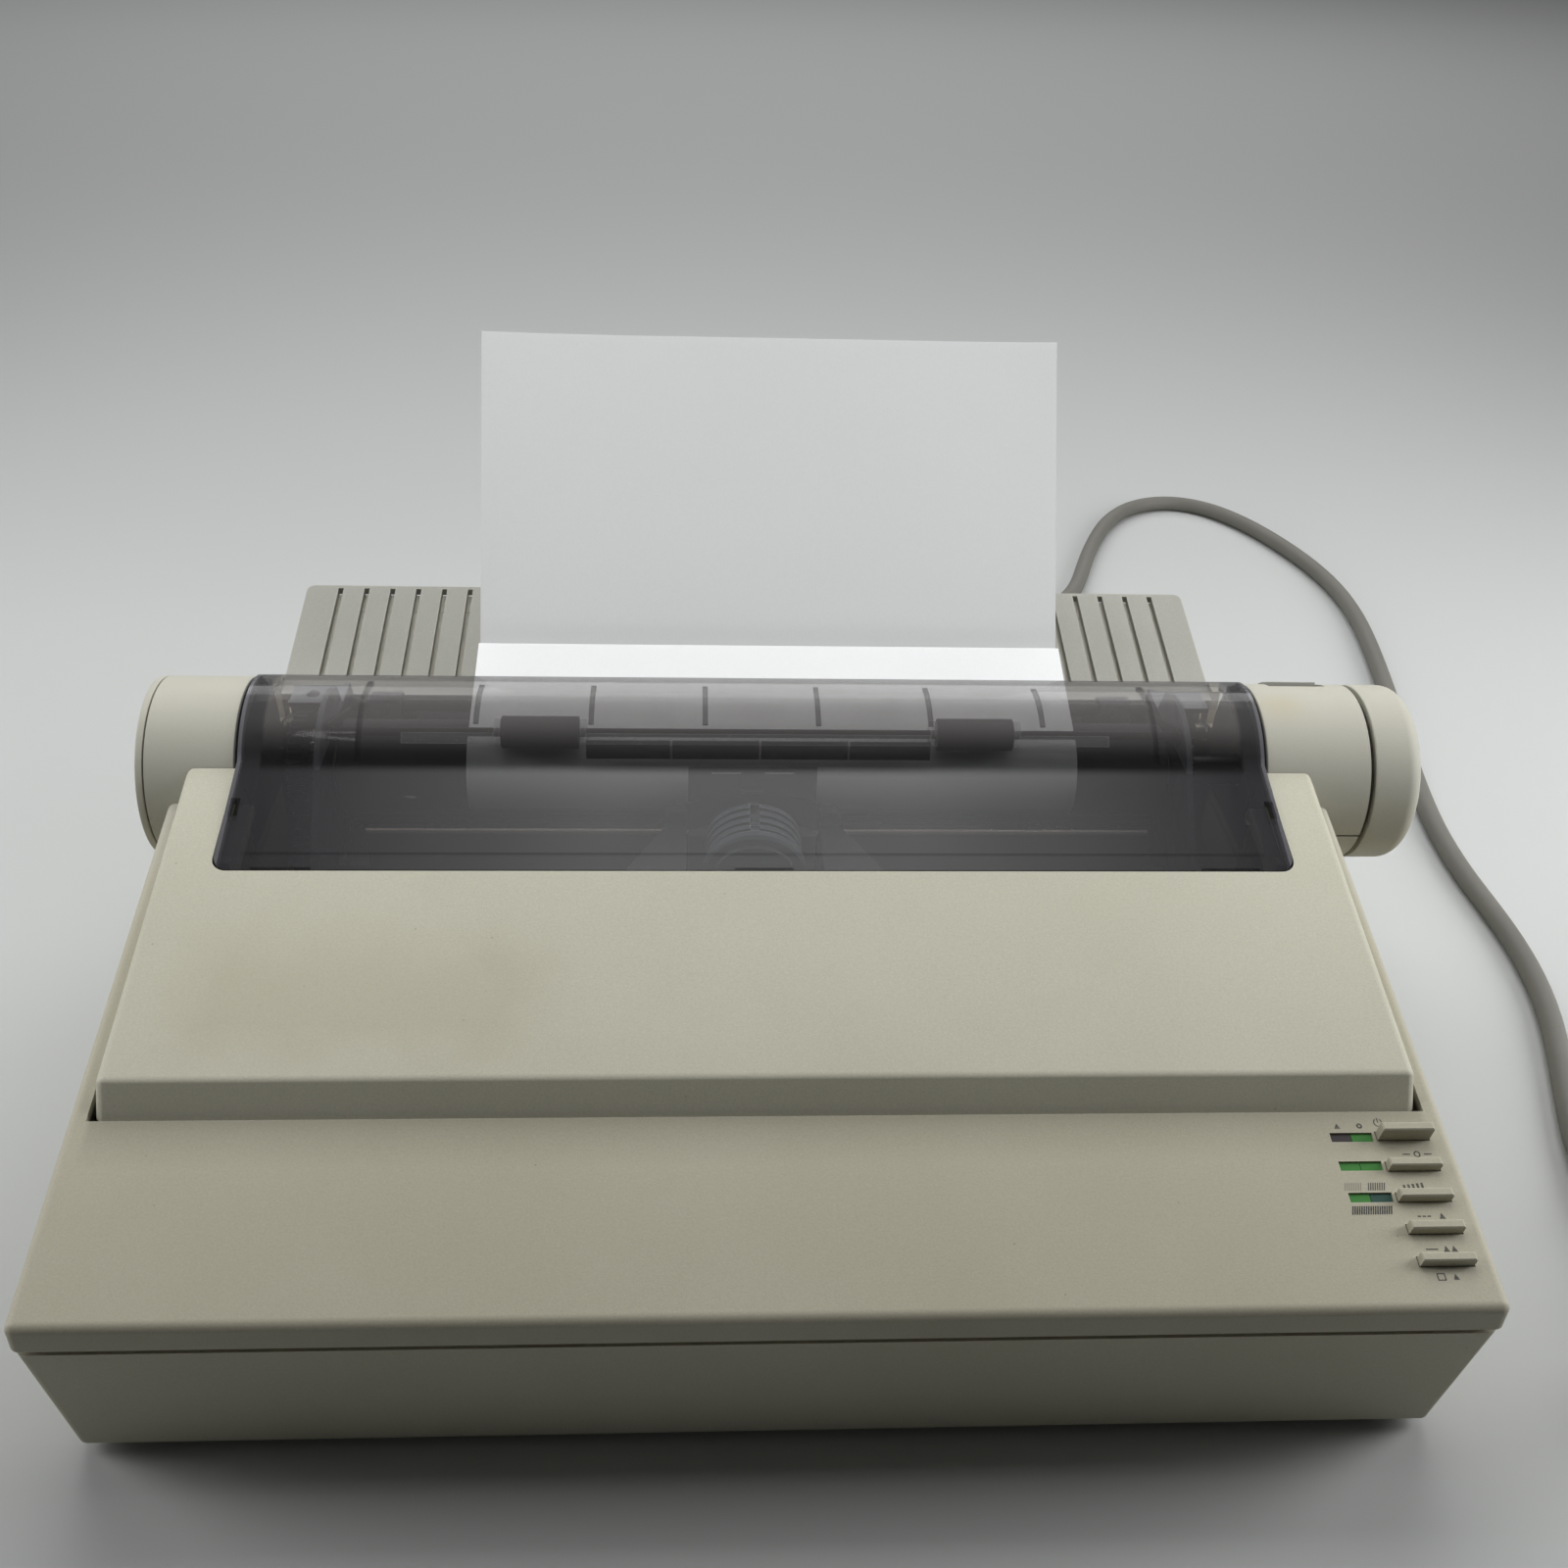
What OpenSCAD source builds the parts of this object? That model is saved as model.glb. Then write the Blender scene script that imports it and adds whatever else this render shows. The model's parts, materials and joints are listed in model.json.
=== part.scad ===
// Dot matrix printer with a hinged front cover, a smoked carrier cover, a roller platen and a loaded sheet.

/* [Case] */
// Width of the case
case_w = 390.8; // [380:0.1:410]
// Depth of the case from the front lip to the rear wall
case_d = 296; // [290:0.5:320]
// Height of the sharp front lip of the upper case
lip_z = 63; // [58:0.5:68]
// Height of the seam between the two case halves
seam_z = 54.7; // [50:0.1:56]
// Slope of the case top in degrees
top_slope = 12.15; // [10:0.05:12.6]
// Wall of the case mouldings
wall = 2.6; // [2:0.1:3.2]
// Radius of the moulded edges of the case
edge_r = 3; // [2:0.5:4]
// How far the lower case leans in at its bottom front edge
front_lean = 7.5; // [2:0.5:12]
// How far the lower case leans in at its bottom side edges
side_lean = 4.4; // [1:0.2:8]
// Height of the rubber feet
foot_h = 3; // [2:0.5:5]
// Radius of the rubber feet
foot_r = 9; // [6:0.5:12]

/* [Drum housings] */
// Distance of the drum axis from the front lip
drum_y = 207.4; // [205:0.1:212]
// Height of the drum axis
drum_z = 96; // [94:0.5:100]
// Radius of the drum housings
drum_r = 31; // [29.5:0.5:32]
// Half length of the open bay between the housings
bay_x = 172.5; // [171.6:0.1:174]
// Left end of the left housing, from the case centre
left_end = 202; // [198:0.5:210]
// Thickness of the end cap on the left housing
cap_t = 2.4; // [1.6:0.2:4]
// Right end of the right housing, from the case centre
right_end = 209; // [205:0.5:215]
// Groove between the right housing and the knob
knob_gap = 2; // [1:0.5:3]
// Width of the platen knob
knob_w = 17.5; // [14:0.5:22]
// Rounding of the outer edge of the knob
knob_round = 6; // [3:0.5:9]

/* [Front cover] */
// Width of the front cover
lid_w = 376.6; // [372:0.2:380]
// Place of its front face
lid_front = 64.8; // [60:0.2:70]
// How far the foot of its front face stands forward, for each millimetre down
lid_lean = 0.52; // [0.3:0.02:0.7]
// Height of its front top edge
lid_front_z = 84.4; // [83:0.2:88]
// Slope of its top in degrees
lid_slope = 13.6; // [12.6:0.1:14]
// Wall of the front cover
lid_wall = 2.5; // [2:0.1:3]
// Place of the front edge of its window
window_front = 139.4; // [130:0.2:150]

/* [Carrier cover] */
// Outer radius of the smoked cover over the drum
cover_r = 32; // [31.6:0.1:33]
// Thickness of the smoked cover
cover_t = 1.8; // [1.4:0.1:2.2]
// Half width of the smoked cover
cover_x = 171.5; // [168:0.1:171.5]
// Half width inside its border
cover_inner_x = 164; // [158:0.5:166]
// Radius of its hinge pins
cover_pin_r = 1.5; // [1:0.1:1.8]
// Pitch of the ribs under the smoked cover
rib_pitch = 38.3; // [36:0.1:38.6]
// Thickness of those ribs
rib_t = 1.8; // [1:0.1:2.4]

/* [Platen and feed] */
// Radius of the platen rubber
platen_r = 16.5; // [15:0.5:17]
// Half length of the platen rubber
platen_x = 143; // [135:1:144]
// Radius of the platen shaft
shaft_r = 5; // [4:0.5:6]
// Gear module
gear_m = 1; // [1:1:1]
// Teeth of the platen gear
platen_teeth = 37; // [37:1:37]
// Teeth of the tractor gear
tractor_teeth = 13; // [13:1:13]
// Teeth of the feed idler
idler_teeth = 30; // [28:1:32]
// Teeth of the feed motor pinion
pinion_teeth = 14; // [13:1:15]
// Width of the gears
gear_w = 5; // [4:0.5:6]
// Direction from the platen to the tractor shaft in degrees
tractor_dir = -13; // [-16:1:-10]
// Direction from the platen to the feed idler in degrees
idler_dir = -115; // [-118:1:-110]
// Radius of the bail rollers
roller_r = 5.5; // [5:0.1:5.8]
// Length of a bail roller
roller_len = 26; // [20:1:32]
// Distance of a bail roller's middle from the sheet's middle
roller_off = 74; // [60:1:85]
// Direction from the platen to the bail shaft in degrees
bail_dir = 115.6; // [112:0.2:119]

/* [Sheet] */
// Width of the sheet
sheet_w = 210; // [140:1:216]
// Thickness of the sheet as modelled
sheet_t = 0.3; // [0.2:0.1:0.4]
// Place of the sheet's middle along the platen
sheet_mid = 5.7; // [0:0.1:8]
// Length of the sheet's straight run above the platen
sheet_run = 157.5; // [120:0.5:180]
// Rise of the sheet behind the platen in degrees
sheet_rise = 55.5; // [54:0.5:58]
// Length of the leading strip that has come out over the platen
strip_len = 43; // [36:0.5:46]

/* [Carriage] */
// Place of the carriage rod
rod_y = 168; // [166:0.5:170]
// Height of the carriage rod
rod_z = 65; // [64:0.5:66]
// Radius of the carriage rod
rod_r = 4; // [3:0.5:5]
// Width of the carriage block
carriage_w = 44; // [36:1:50]
// Travel of the carriage to each side of the middle
carriage_travel = 96; // [60:1:98]
// Radius of the round print head
head_r = 17; // [15:0.5:17]
// Height of the back of the print head's axis
head_z = 87; // [86:0.5:87.5]
// Pitch radius of the belt pulleys
pulley_r = 6; // [5:0.5:7]

/* [Paper rack] */
// Half width of the paper rack
rack_x = 173; // [165:0.5:180]
// Place of the rack's front edge
rack_front = 246; // [244:0.5:248]
// Place of the rack's rear edge
rack_back = 304.4; // [300:0.2:312]
// Height of the rack's top at its front edge
rack_front_z = 102; // [101:0.5:104]
// Slope of the rack in degrees
rack_slope = 13.9; // [12:0.1:15]
// Thickness of the rack
rack_t = 2.6; // [2:0.1:3.2]
// Number of slots in the rack
slot_count = 33; // [21:2:33]
// Pitch of the slots in the rack and the rear vents
slot_pitch = 10; // [8:0.5:10]
// Width of the slots
slot_w = 2; // [1.4:0.1:2.6]

/* [Buttons] */
// Width of a button
button_w = 15; // [12:0.5:17]
// Depth of a button
button_d = 2.6; // [2:0.1:3.4]
// How far a button stands out of the case top
button_h = 3.2; // [2:0.1:4]
// How much further the power button stands out
power_rise = 2.4; // [0:0.1:3]
// Travel of a button
button_travel = 1.6; // [0.8:0.1:1.8]
// Left edge of the buttons, from the case centre
button_x = 173.5; // [173:0.5:176]

/* [Hidden] */
beige = "#c9c4b2";
steel = "#9a9c9e";
smoke = [0.22, 0.23, 0.25, 0.6];
black = "#1c1c1e";

// Places that follow from the sizes above
knob_end = right_end + knob_gap + knob_w;
cap_gap = 0.6;
cap_end = left_end + cap_gap + cap_t;
gap = 0.3;
feed_r = platen_r + gap + sheet_t / 2;
sheet_low = [drum_y + feed_r * sin(sheet_rise), drum_z - feed_r * cos(sheet_rise)];
sheet_dir = [cos(sheet_rise), sin(sheet_rise)];
sheet_back = [sin(sheet_rise), -cos(sheet_rise)];
sheet_top = sheet_low + sheet_dir * sheet_run;
strip_a = 108;
back_y = max(sheet_top[0] + sheet_t / 2 * sheet_back[0], rack_back);
mid_x = (knob_end - cap_end) / 2;
mid_y = back_y / 2;
fit = 0.05;
lower_inset = 0.6;
seam_gap = 0.4;
groove_h = 2.4;
groove_d = 1.3;
// Heights that lie under and over everything a cut goes through
under = 50;
over = 150;
lid_x = lid_w / 2;
half_w = case_w / 2;
floor_z = foot_h + wall;

function top_z(y) = lip_z + y * tan(top_slope);
function lid_z(y) = lid_front_z + (y - lid_front) * tan(lid_slope);
function rack_z(y) = rack_front_z + (y - rack_front) * tan(rack_slope);
function deck_z(y) = rack_z(y) - rack_t / cos(rack_slope) - gap;
function polar(r, a) = [drum_y + r * cos(a), drum_z + r * sin(a)];
function arc(c, r, a0, a1, n) = [for (i = [0:n]) c + r * [cos(a0 + (a1 - a0) * i / n),
    sin(a0 + (a1 - a0) * i / n)]];

// The object's own origin is under the middle of its box
module seat() translate([-mid_x, -mid_y, 0]) children();
// A profile drawn in depth and height, drawn out along the width
module along_x(x0, x1) translate([x0, 0, 0]) rotate([90, 0, 90]) linear_extrude(x1 - x0) children();
module rod_x(x0, x1, r, c, n = 48) translate([x0, c[0], c[1]]) rotate([0, 90, 0]) cylinder(r = r,
    h = x1 - x0, $fn = n);
module box(a, b) translate(a) cube(b - a);
module both() {
    children();
    mirror([1, 0, 0]) children();
}
// A ring sector in depth and height about the drum axis
module ring_x(x0, x1, r0, r1, a0, a1) along_x(x0, x1) intersection() {
    translate([drum_y, drum_z]) difference() {
        circle(r1, $fn = 120);
        circle(r0, $fn = 120);
    }
    polygon(concat([polar(0, 0)], arc([drum_y, drum_z], r1 * 1.6, a0, a1, 6)));
}
// Takes a square corner off and leaves a round one
module corner_cut(x, y, r, sx, sy, z0, z1) translate([x, y, z0]) difference() {
    translate([sx > 0 ? -r : -1, sy > 0 ? -r : -1, 0]) cube([r + 1, r + 1, z1 - z0]);
    translate([-sx * r, -sy * r, -1]) cylinder(r = r, h = z1 - z0 + 2, $fn = 40);
}

// Involute gears
function inv_deg(a) = tan(a) * 180 / PI - a;
function flank(z, rho, slack) = 90 / z - slack + inv_deg(20) - inv_deg(acos(min(1,
    gear_m * z / 2 * cos(20) / rho)));
module gear_outline(z, slack = 0.12) {
    rb = gear_m * z / 2 * cos(20);
    rf = gear_m * (z / 2 - 1.25);
    ra = gear_m * (z / 2 + 0.95);
    r0 = max(rb, rf);
    sl = slack / (gear_m * z) * 180 / PI;
    steps = 4;
    polygon([for (k = [0:z - 1]) let (c = 360 / z * k) each concat(
        [rf * [cos(c - flank(z, r0, sl) - 0.01), sin(c - flank(z, r0, sl) - 0.01)]],
        [for (i = [0:steps]) let (q = r0 + (ra - r0) * i / steps, a = c - flank(z, q, sl)) q * [cos(a),
            sin(a)]],
        [for (i = [steps:-1:0]) let (q = r0 + (ra - r0) * i / steps, a = c + flank(z, q,
            sl)) q * [cos(a), sin(a)]],
        [rf * [cos(c + flank(z, r0, sl) + 0.01), sin(c + flank(z, r0, sl) + 0.01)]])]);
}
module gear(x0, x1, c, z, turn, bore) along_x(x0, x1) translate(c) difference() {
    rotate(turn) gear_outline(z);
    circle(bore, $fn = 48);
}
function mesh_turn(turn_a, za, dir, zb) = dir + 180 + (dir - turn_a) * za / zb + 180 / zb;
platen_turn = tractor_dir;
tractor_c = polar(gear_m * (platen_teeth + tractor_teeth) / 2, tractor_dir);
idler_c = polar(gear_m * (platen_teeth + idler_teeth) / 2, idler_dir);
pinion_dir = -50;
pinion_c = idler_c + gear_m * (idler_teeth + pinion_teeth) / 2 * [cos(pinion_dir), sin(pinion_dir)];
tractor_turn = mesh_turn(platen_turn, platen_teeth, tractor_dir, tractor_teeth);
idler_turn = mesh_turn(platen_turn, platen_teeth, idler_dir, idler_teeth);
pinion_turn = mesh_turn(idler_turn, idler_teeth, pinion_dir, pinion_teeth);

// A tube swept along points, with flat ends
function unit(v) = v / norm(v);
function heading(p, i) = unit(p[min(i + 1, len(p) - 1)] - p[max(i - 1, 0)]);
function ring(p, i, r, n, up) = let (t = heading(p, i), s = unit(cross(t, up)), u = cross(s, t))
    [for (k = [0:n - 1]) p[i] + r * (s * cos(360 * (k + 0.5) / n) + u * sin(360 * (k + 0.5) / n))];
module tube(p, r, n, up = [0, 0, 1]) {
    m = len(p);
    polyhedron(concat([for (i = [0:m - 1]) each ring(p, i, r, n, is_list(up[0]) ? up[i] : up)], [p[0],
        p[m - 1]]),
        concat([for (i = [0:m - 2]) for (k = [0:n - 1]) let (a = i * n + k, b = i * n + (k + 1) % n)
            each [[a, b, b + n], [a, b + n, a + n]]],
            [for (k = [0:n - 1]) [(k + 1) % n, k, m * n]],
            [for (k = [0:n - 1]) [(m - 1) * n + k, (m - 1) * n + (k + 1) % n, m * n + 1]]));
}

// Casing
module case_corners(x, y0, y1, r) for (sx = [-1, 1], y = [y0 + r, y1 - r]) translate([sx * (x - r), y,
    0]) children();
module lower_solid(inset, z0, lip) hull() {
    translate([0, 0, seam_z - seam_gap - 1]) case_corners(half_w - lower_inset - inset,
        lower_inset + inset, case_d - inset, edge_r)
        cylinder(r = edge_r, h = 1 + lip, $fn = 24);
    translate([0, 0, z0]) case_corners(half_w - side_lean - inset, front_lean + inset, case_d - inset,
        edge_r) {
        cylinder(r = edge_r - 1.5, h = 1, $fn = 24);
        translate([0, 0, 1.5]) cylinder(r = edge_r, h = 1, $fn = 24);
    }
}
inlet_x = 150;
inlet_z = 30;
inlet_w = 27.5;
inlet_h = 20;
port_x = -118;
port_z = 27;
port_w = 60;
port_h = 14;
vent_h = 24;
vent_z = 14;
screw_x = half_w - 22;
screw_y0 = 26;
screw_y1 = case_d - 22;
board_z = floor_z + 7;
stand_r = 3.5;
plate_z = 13;
plate_t = 1.5;
plate_x = 166;
plate_y0 = 110;
plate_y1 = case_d - 34;
module at_posts() for (sx = [-1, 1], y = [plate_y0 + 10, plate_y1 - 10]) translate([sx * (plate_x - 8),
    y, 0]) children();
module lower_case() color(beige) seat() {
    difference() {
        lower_solid(0, foot_h, 0);
        lower_solid(wall, floor_z, 2);
        // A shadow groove under the seam
        difference() {
            box([-half_w, -1, seam_z - groove_h], [half_w, case_d + 1, seam_z]);
            lower_solid(groove_d, foot_h, 2);
        }
        for (sx = [-1, 1], y = [screw_y0, screw_y1]) translate([sx * screw_x, y, foot_h - 1]) {
            cylinder(r = 1.7, h = wall + 2, $fn = 32);
            cylinder(r = foot_r + gap, h = 1.6, $fn = 48);
        }
        inlet_box(inlet_w / 2, inlet_h / 2, case_d - wall - 1, case_d + 1);
        port_box(port_w / 2, port_h / 2, case_d - wall - 1, case_d + 1);
        for (i = [-7:11]) box([i * slot_pitch - slot_w / 2, case_d - wall - 1, vent_z],
            [i * slot_pitch + slot_w / 2, case_d + 1, vent_z + vent_h]);
    }
    // Posts under the base plate and the boards
    difference() {
        at_posts() translate([0, 0, floor_z - 0.5]) cylinder(r = 5, h = plate_z - floor_z + 0.5, $fn = 32);
        at_posts() translate([0, 0, floor_z]) cylinder(r = 1.5, h = 20, $fn = 32);
    }
    for (x = [logic_x0 + 8, logic_x1 - 8, supply_x0 + 6, supply_x1 - 6], y = [board_y0 + 7, board_y1 - 7])
        translate([x, y, floor_z - 0.5]) cylinder(r = stand_r, h = board_z - floor_z + 0.5, $fn = 32);
    // Bosses that the screws of the feet bite into
    at_feet() translate([0, 0, floor_z - 0.5]) difference() {
        cylinder(r = 4.5, h = 18, $fn = 36);
        translate([0, 0, -1]) cylinder(r = 1.5 + fit, h = 20, $fn = 32);
    }
}

// The upper case is a wedge in front, a deck behind and a drum housing at each side
deck_y = drum_y + 20;
deck_x = rack_x - 1;
shelf_y = max(case_d, rack_back - 1.5);
shoulder_z0 = 98;
shoulder_slope = -19.3;
function shoulder_z(y) = shoulder_z0 + (y - deck_y) * tan(shoulder_slope);
module wedge_solid(x, inset) hull() {
    for (sx = [-1, 1]) {
        for (y = [edge_r + inset, drum_y]) translate([sx * (x - edge_r), y,
            top_z(y) - edge_r / cos(top_slope) - inset]) sphere(r = edge_r, $fn = 24);
        for (y = [edge_r + inset, drum_y]) translate([sx * (x - edge_r), y, seam_z - inset])
            cylinder(r = edge_r, h = 1, $fn = 24);
    }
}
// A block behind the drums whose top starts at z0 over deck_y and rises by slope degrees
module rear_solid(x, z0, slope) hull() for (sx = [-1, 1], y = [deck_y - 20, case_d - edge_r]) {
    translate([sx * (x - edge_r), y, z0 + (y - deck_y) * tan(slope) - edge_r / cos(slope)])
        sphere(r = edge_r, $fn = 24);
    translate([sx * (x - edge_r), y, seam_z]) cylinder(r = edge_r, h = 1, $fn = 24);
}
hinge_y = lid_front + 5.7;
hinge_z = top_z(lid_front) + 3.4;
lid_pin_r = 1.2;
slot_y1 = lid_front + 15;
slot_x = lid_x + 1.6;
ear_x0 = lid_x - lid_wall - 5.8;
ear_x1 = ear_x0 + 3.6;
ear_r = 2.2;
bay_side = 167;
cover_pin = polar(27.8, 66.5);
lever_a = 53;
lever_x0 = 182;
lever_x1 = 201;
lever_swing = 12;
paddle_a = 5;
paddle_rise = 0.8;
rack_pin = [rack_front + 5, rack_z(rack_front + 5) - rack_t / 2];
rack_pin_r = 1.2;
button_y = [51.3, 41.7, 32.3, 22.8, 13.5];
lens_y = [51, 42, 32.4];
lens_x0 = 160;
lens_x1 = 172.4;
lens_d = 3;
lid_skirt_z = top_z(lid_front) - 2.5;
slot_open_y = lid_front - lid_lean * (lid_front_z - lid_skirt_z) - 0.4;
module case_shell() difference() {
    union() {
        wedge_solid(half_w, 0);
        rear_solid(half_w, shoulder_z0, shoulder_slope);
        rear_solid(deck_x, deck_z(deck_y), rack_slope);
        rod_x(-left_end, -bay_x, drum_r, [drum_y, drum_z], 120);
        rod_x(bay_x, right_end, drum_r, [drum_y, drum_z], 120);
    }
    // The hollow of the wedge and the deck
    along_x(-half_w + wall, half_w - wall) polygon([[wall, seam_z - 9], [wall, top_z(wall) - wall * 1.1],
        [drum_y - 20, top_z(drum_y - 20) - wall * 1.03], [drum_y - 14, drum_z - 12],
        [drum_y + 30, drum_z - 12], [drum_y + 36, shoulder_z(drum_y + 36) - wall * 1.06],
        [case_d - wall, shoulder_z(case_d) - wall * 1.06], [case_d - wall, seam_z - 9]]);
    // The hollow under the raised deck
    along_x(-deck_x + wall, deck_x - wall) polygon([[drum_y + 30, seam_z], [drum_y + 30, drum_z - 12],
        [deck_y + 8, deck_z(deck_y + 8) - wall * 1.04], [case_d - wall, deck_z(case_d) - wall * 1.04],
        [case_d - wall, seam_z]]);
    // The hollows of the two drum housings
    rod_x(-left_end - 1, -bay_x - wall, drum_r - wall, [drum_y, drum_z], 120);
    rod_x(bay_x + wall, right_end - wall, drum_r - wall, [drum_y, drum_z], 120);
    // The open bay between the housings
    along_x(-bay_x, bay_x) polygon([[drum_y - drum_r - gap, seam_z - 9], [drum_y - drum_r - gap, over],
        [rack_front, over], [rack_front, seam_z + 12], [drum_y + 30, seam_z - 9]]);
    // The mouth under the front cover and the slot that its skirt swings in
    box([-bay_side, slot_y1 - 1, seam_z - 9], [bay_side, drum_y - drum_r + 1, over]);
    box([-slot_x, slot_open_y, seam_z + 8], [slot_x, slot_y1, over]);
}
module upper_case() color(beige) seat() difference() {
    union() {
        case_shell();
        // Ears that hold the pins of the front cover
        both() {
            along_x(ear_x0, ear_x1) polygon([[hinge_y, hinge_z - ear_r], [hinge_y + 12, hinge_z - ear_r],
                [hinge_y + 12, seam_z + 10], [hinge_y + 17, seam_z + 10], [hinge_y + 17, hinge_z + ear_r],
                [hinge_y, hinge_z + ear_r]]);
            rod_x(ear_x0, ear_x1, ear_r, [hinge_y, hinge_z]);
            box([ear_x1 - 0.1, hinge_y + 12, seam_z + 10], [half_w - wall + 0.1, hinge_y + 17,
                top_z(hinge_y + 12) - 1]);
            // A post under the border of the smoked cover
            box([bay_side + 0.5, window_front + 5, top_z(window_front) - 4],
                [cover_x - 0.5, window_front + 9, flap_z(window_front + 5) - border_t - gap]);
        }
        // A lip under the rear edge of the rack
        along_x(-deck_x + 1, deck_x - 1) polygon([[case_d - wall, deck_z(case_d - wall)],
            [shelf_y, deck_z(shelf_y)], [shelf_y, deck_z(shelf_y) - wall], [case_d - wall, deck_z(case_d) - 7]]);
        // Ears for the rack pins
        both() box([rack_x + gap, rack_pin[0] - 3.5, shoulder_z(rack_pin[0]) - wall],
            [rack_x + gap + 3, rack_pin[0] + 3.5, rack_pin[1] + 3]);
        // Inner faces of the housings run down to the side walls
        both() box([bay_x, drum_y - 20, seam_z], [bay_x + wall, drum_y + 20, drum_z - 10]);
    }
    both() rod_x(ear_x0 - 1, ear_x1 + 0.5, lid_pin_r + fit, [hinge_y, hinge_z]);
    both() rod_x(bay_x - 1, bay_x + wall + 1, cover_pin_r + fit, cover_pin);
    // Shaft hole in the right housing and its inner face, and a hole for the shaft's left end
    rod_x(bay_x - 1, right_end + 1, shaft_r + 1, [drum_y, drum_z]);
    // Slot for the release lever
    ring_x(lever_x0 - 0.6, lever_x1 + 0.6, drum_r - wall - 1, drum_r + 2,
        lever_a - paddle_a - lever_swing - 2,
        lever_a + paddle_a + lever_swing + 2);
    // Parting line on the right housing
    box([half_w + 0.5, drum_y - drum_r, 88.4], [right_end + 1, drum_y - drum_r + 2.4, 89.2]);
    // Holes for the rack pins
    both() rod_x(rack_x, rack_x + gap + 4, rack_pin_r + fit, rack_pin);
    // Button wells and status windows
    for (y = button_y) button_hole(y);
    for (y = lens_y) on_slope(y, -8) translate([lens_x0, -lens_d / 2, 0]) cube([lens_x1 - lens_x0,
        lens_d, 12]);
    // Room for the front edge of the rack where it swings down
    box([-rack_x - gap, rack_front - 4, drum_z - 6], [rack_x + gap, rack_pin[0] + 1, over]);
}
module button_hole(y) on_slope(y, -6) translate([button_x - gap, -button_d / 2 - gap, 0])
    cube([button_w + 2 * gap, button_d + 2 * gap, 12]);
module end_cap() color(beige) seat() difference() {
    union() {
        rod_x(-cap_end, -left_end - cap_gap, drum_r, [drum_y, drum_z], 120);
        rod_x(-left_end - cap_gap - 0.1, -left_end + 5, drum_r - wall - 0.2, [drum_y, drum_z], 120);
    }
    rod_x(-left_end - cap_gap + 0.5, -left_end + 6, drum_r - 2 * wall, [drum_y, drum_z], 96);
}

// The front cover is a shallow hood whose pins sit in the ears of the case
module lid_solid(x, inset, y1) hull() for (sx = [-1, 1]) {
    for (y = [lid_front + edge_r + inset, y1]) translate([sx * (x - edge_r), y,
        lid_z(y) - edge_r / cos(lid_slope) - inset])
        sphere(r = edge_r, $fn = 24);
    for (y = [lid_front - lid_lean * (lid_front_z - 60) + edge_r + inset, y1])
        translate([sx * (x - edge_r), y, 60]) cylinder(r = edge_r, h = 1, $fn = 24);
}
module front_cover() color(beige) seat() difference() {
    union() {
        difference() {
            lid_solid(lid_x, 0, drum_y - 10);
            lid_solid(lid_x - lid_wall, lid_wall, drum_y - 5);
            // Window for the smoked cover, open to the drum
            difference() {
                box([-cover_x - 0.5, window_front - 0.5, under], [cover_x + 0.5, drum_y + 5, over]);
                both() corner_cut(cover_x + 0.5, window_front - 0.5, 5, 1, -1, under - 1, over + 1);
            }
        }
        // Rim that hangs from the window's edges
        difference() {
            intersection() {
                lid_solid(lid_x - 1, 1, drum_y - 10);
                box([-cover_x - 2.5, window_front - 2.5, under], [cover_x + 2.5, drum_y + 5, over]);
            }
            box([-cover_x - 0.5, window_front - 0.5, under - 1], [cover_x + 0.5, drum_y + 5, over]);
            along_x(-lid_x, lid_x) polygon([[50, lid_z(50) - 7], [drum_y, lid_z(drum_y) - 7], [drum_y,
                under - 10],
                [50, under - 10]]);
        }
        both() rod_x(ear_x0 + 0.2, lid_x - 1, lid_pin_r, [hinge_y, hinge_z]);
    }
    // Underside: a deep skirt in front, and sides that stop above the case
    along_x(-lid_x - 1, lid_x + 1) polygon([[lid_front - 25, under], [lid_front - 25, lid_skirt_z],
        [hinge_y + 0.5, lid_skirt_z],
        [hinge_y + 0.5, top_z(hinge_y) + gap + 0.3], [slot_y1, top_z(slot_y1) + gap], [drum_y,
            top_z(drum_y) + gap],
        [drum_y, under]]);
    // The back edge follows the drum
    rod_x(-lid_x - 1, lid_x + 1, drum_r + gap, [drum_y, drum_z], 120);
    box([-lid_x - 1, drum_y - 8, under], [lid_x + 1, drum_y, over]);
}

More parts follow.
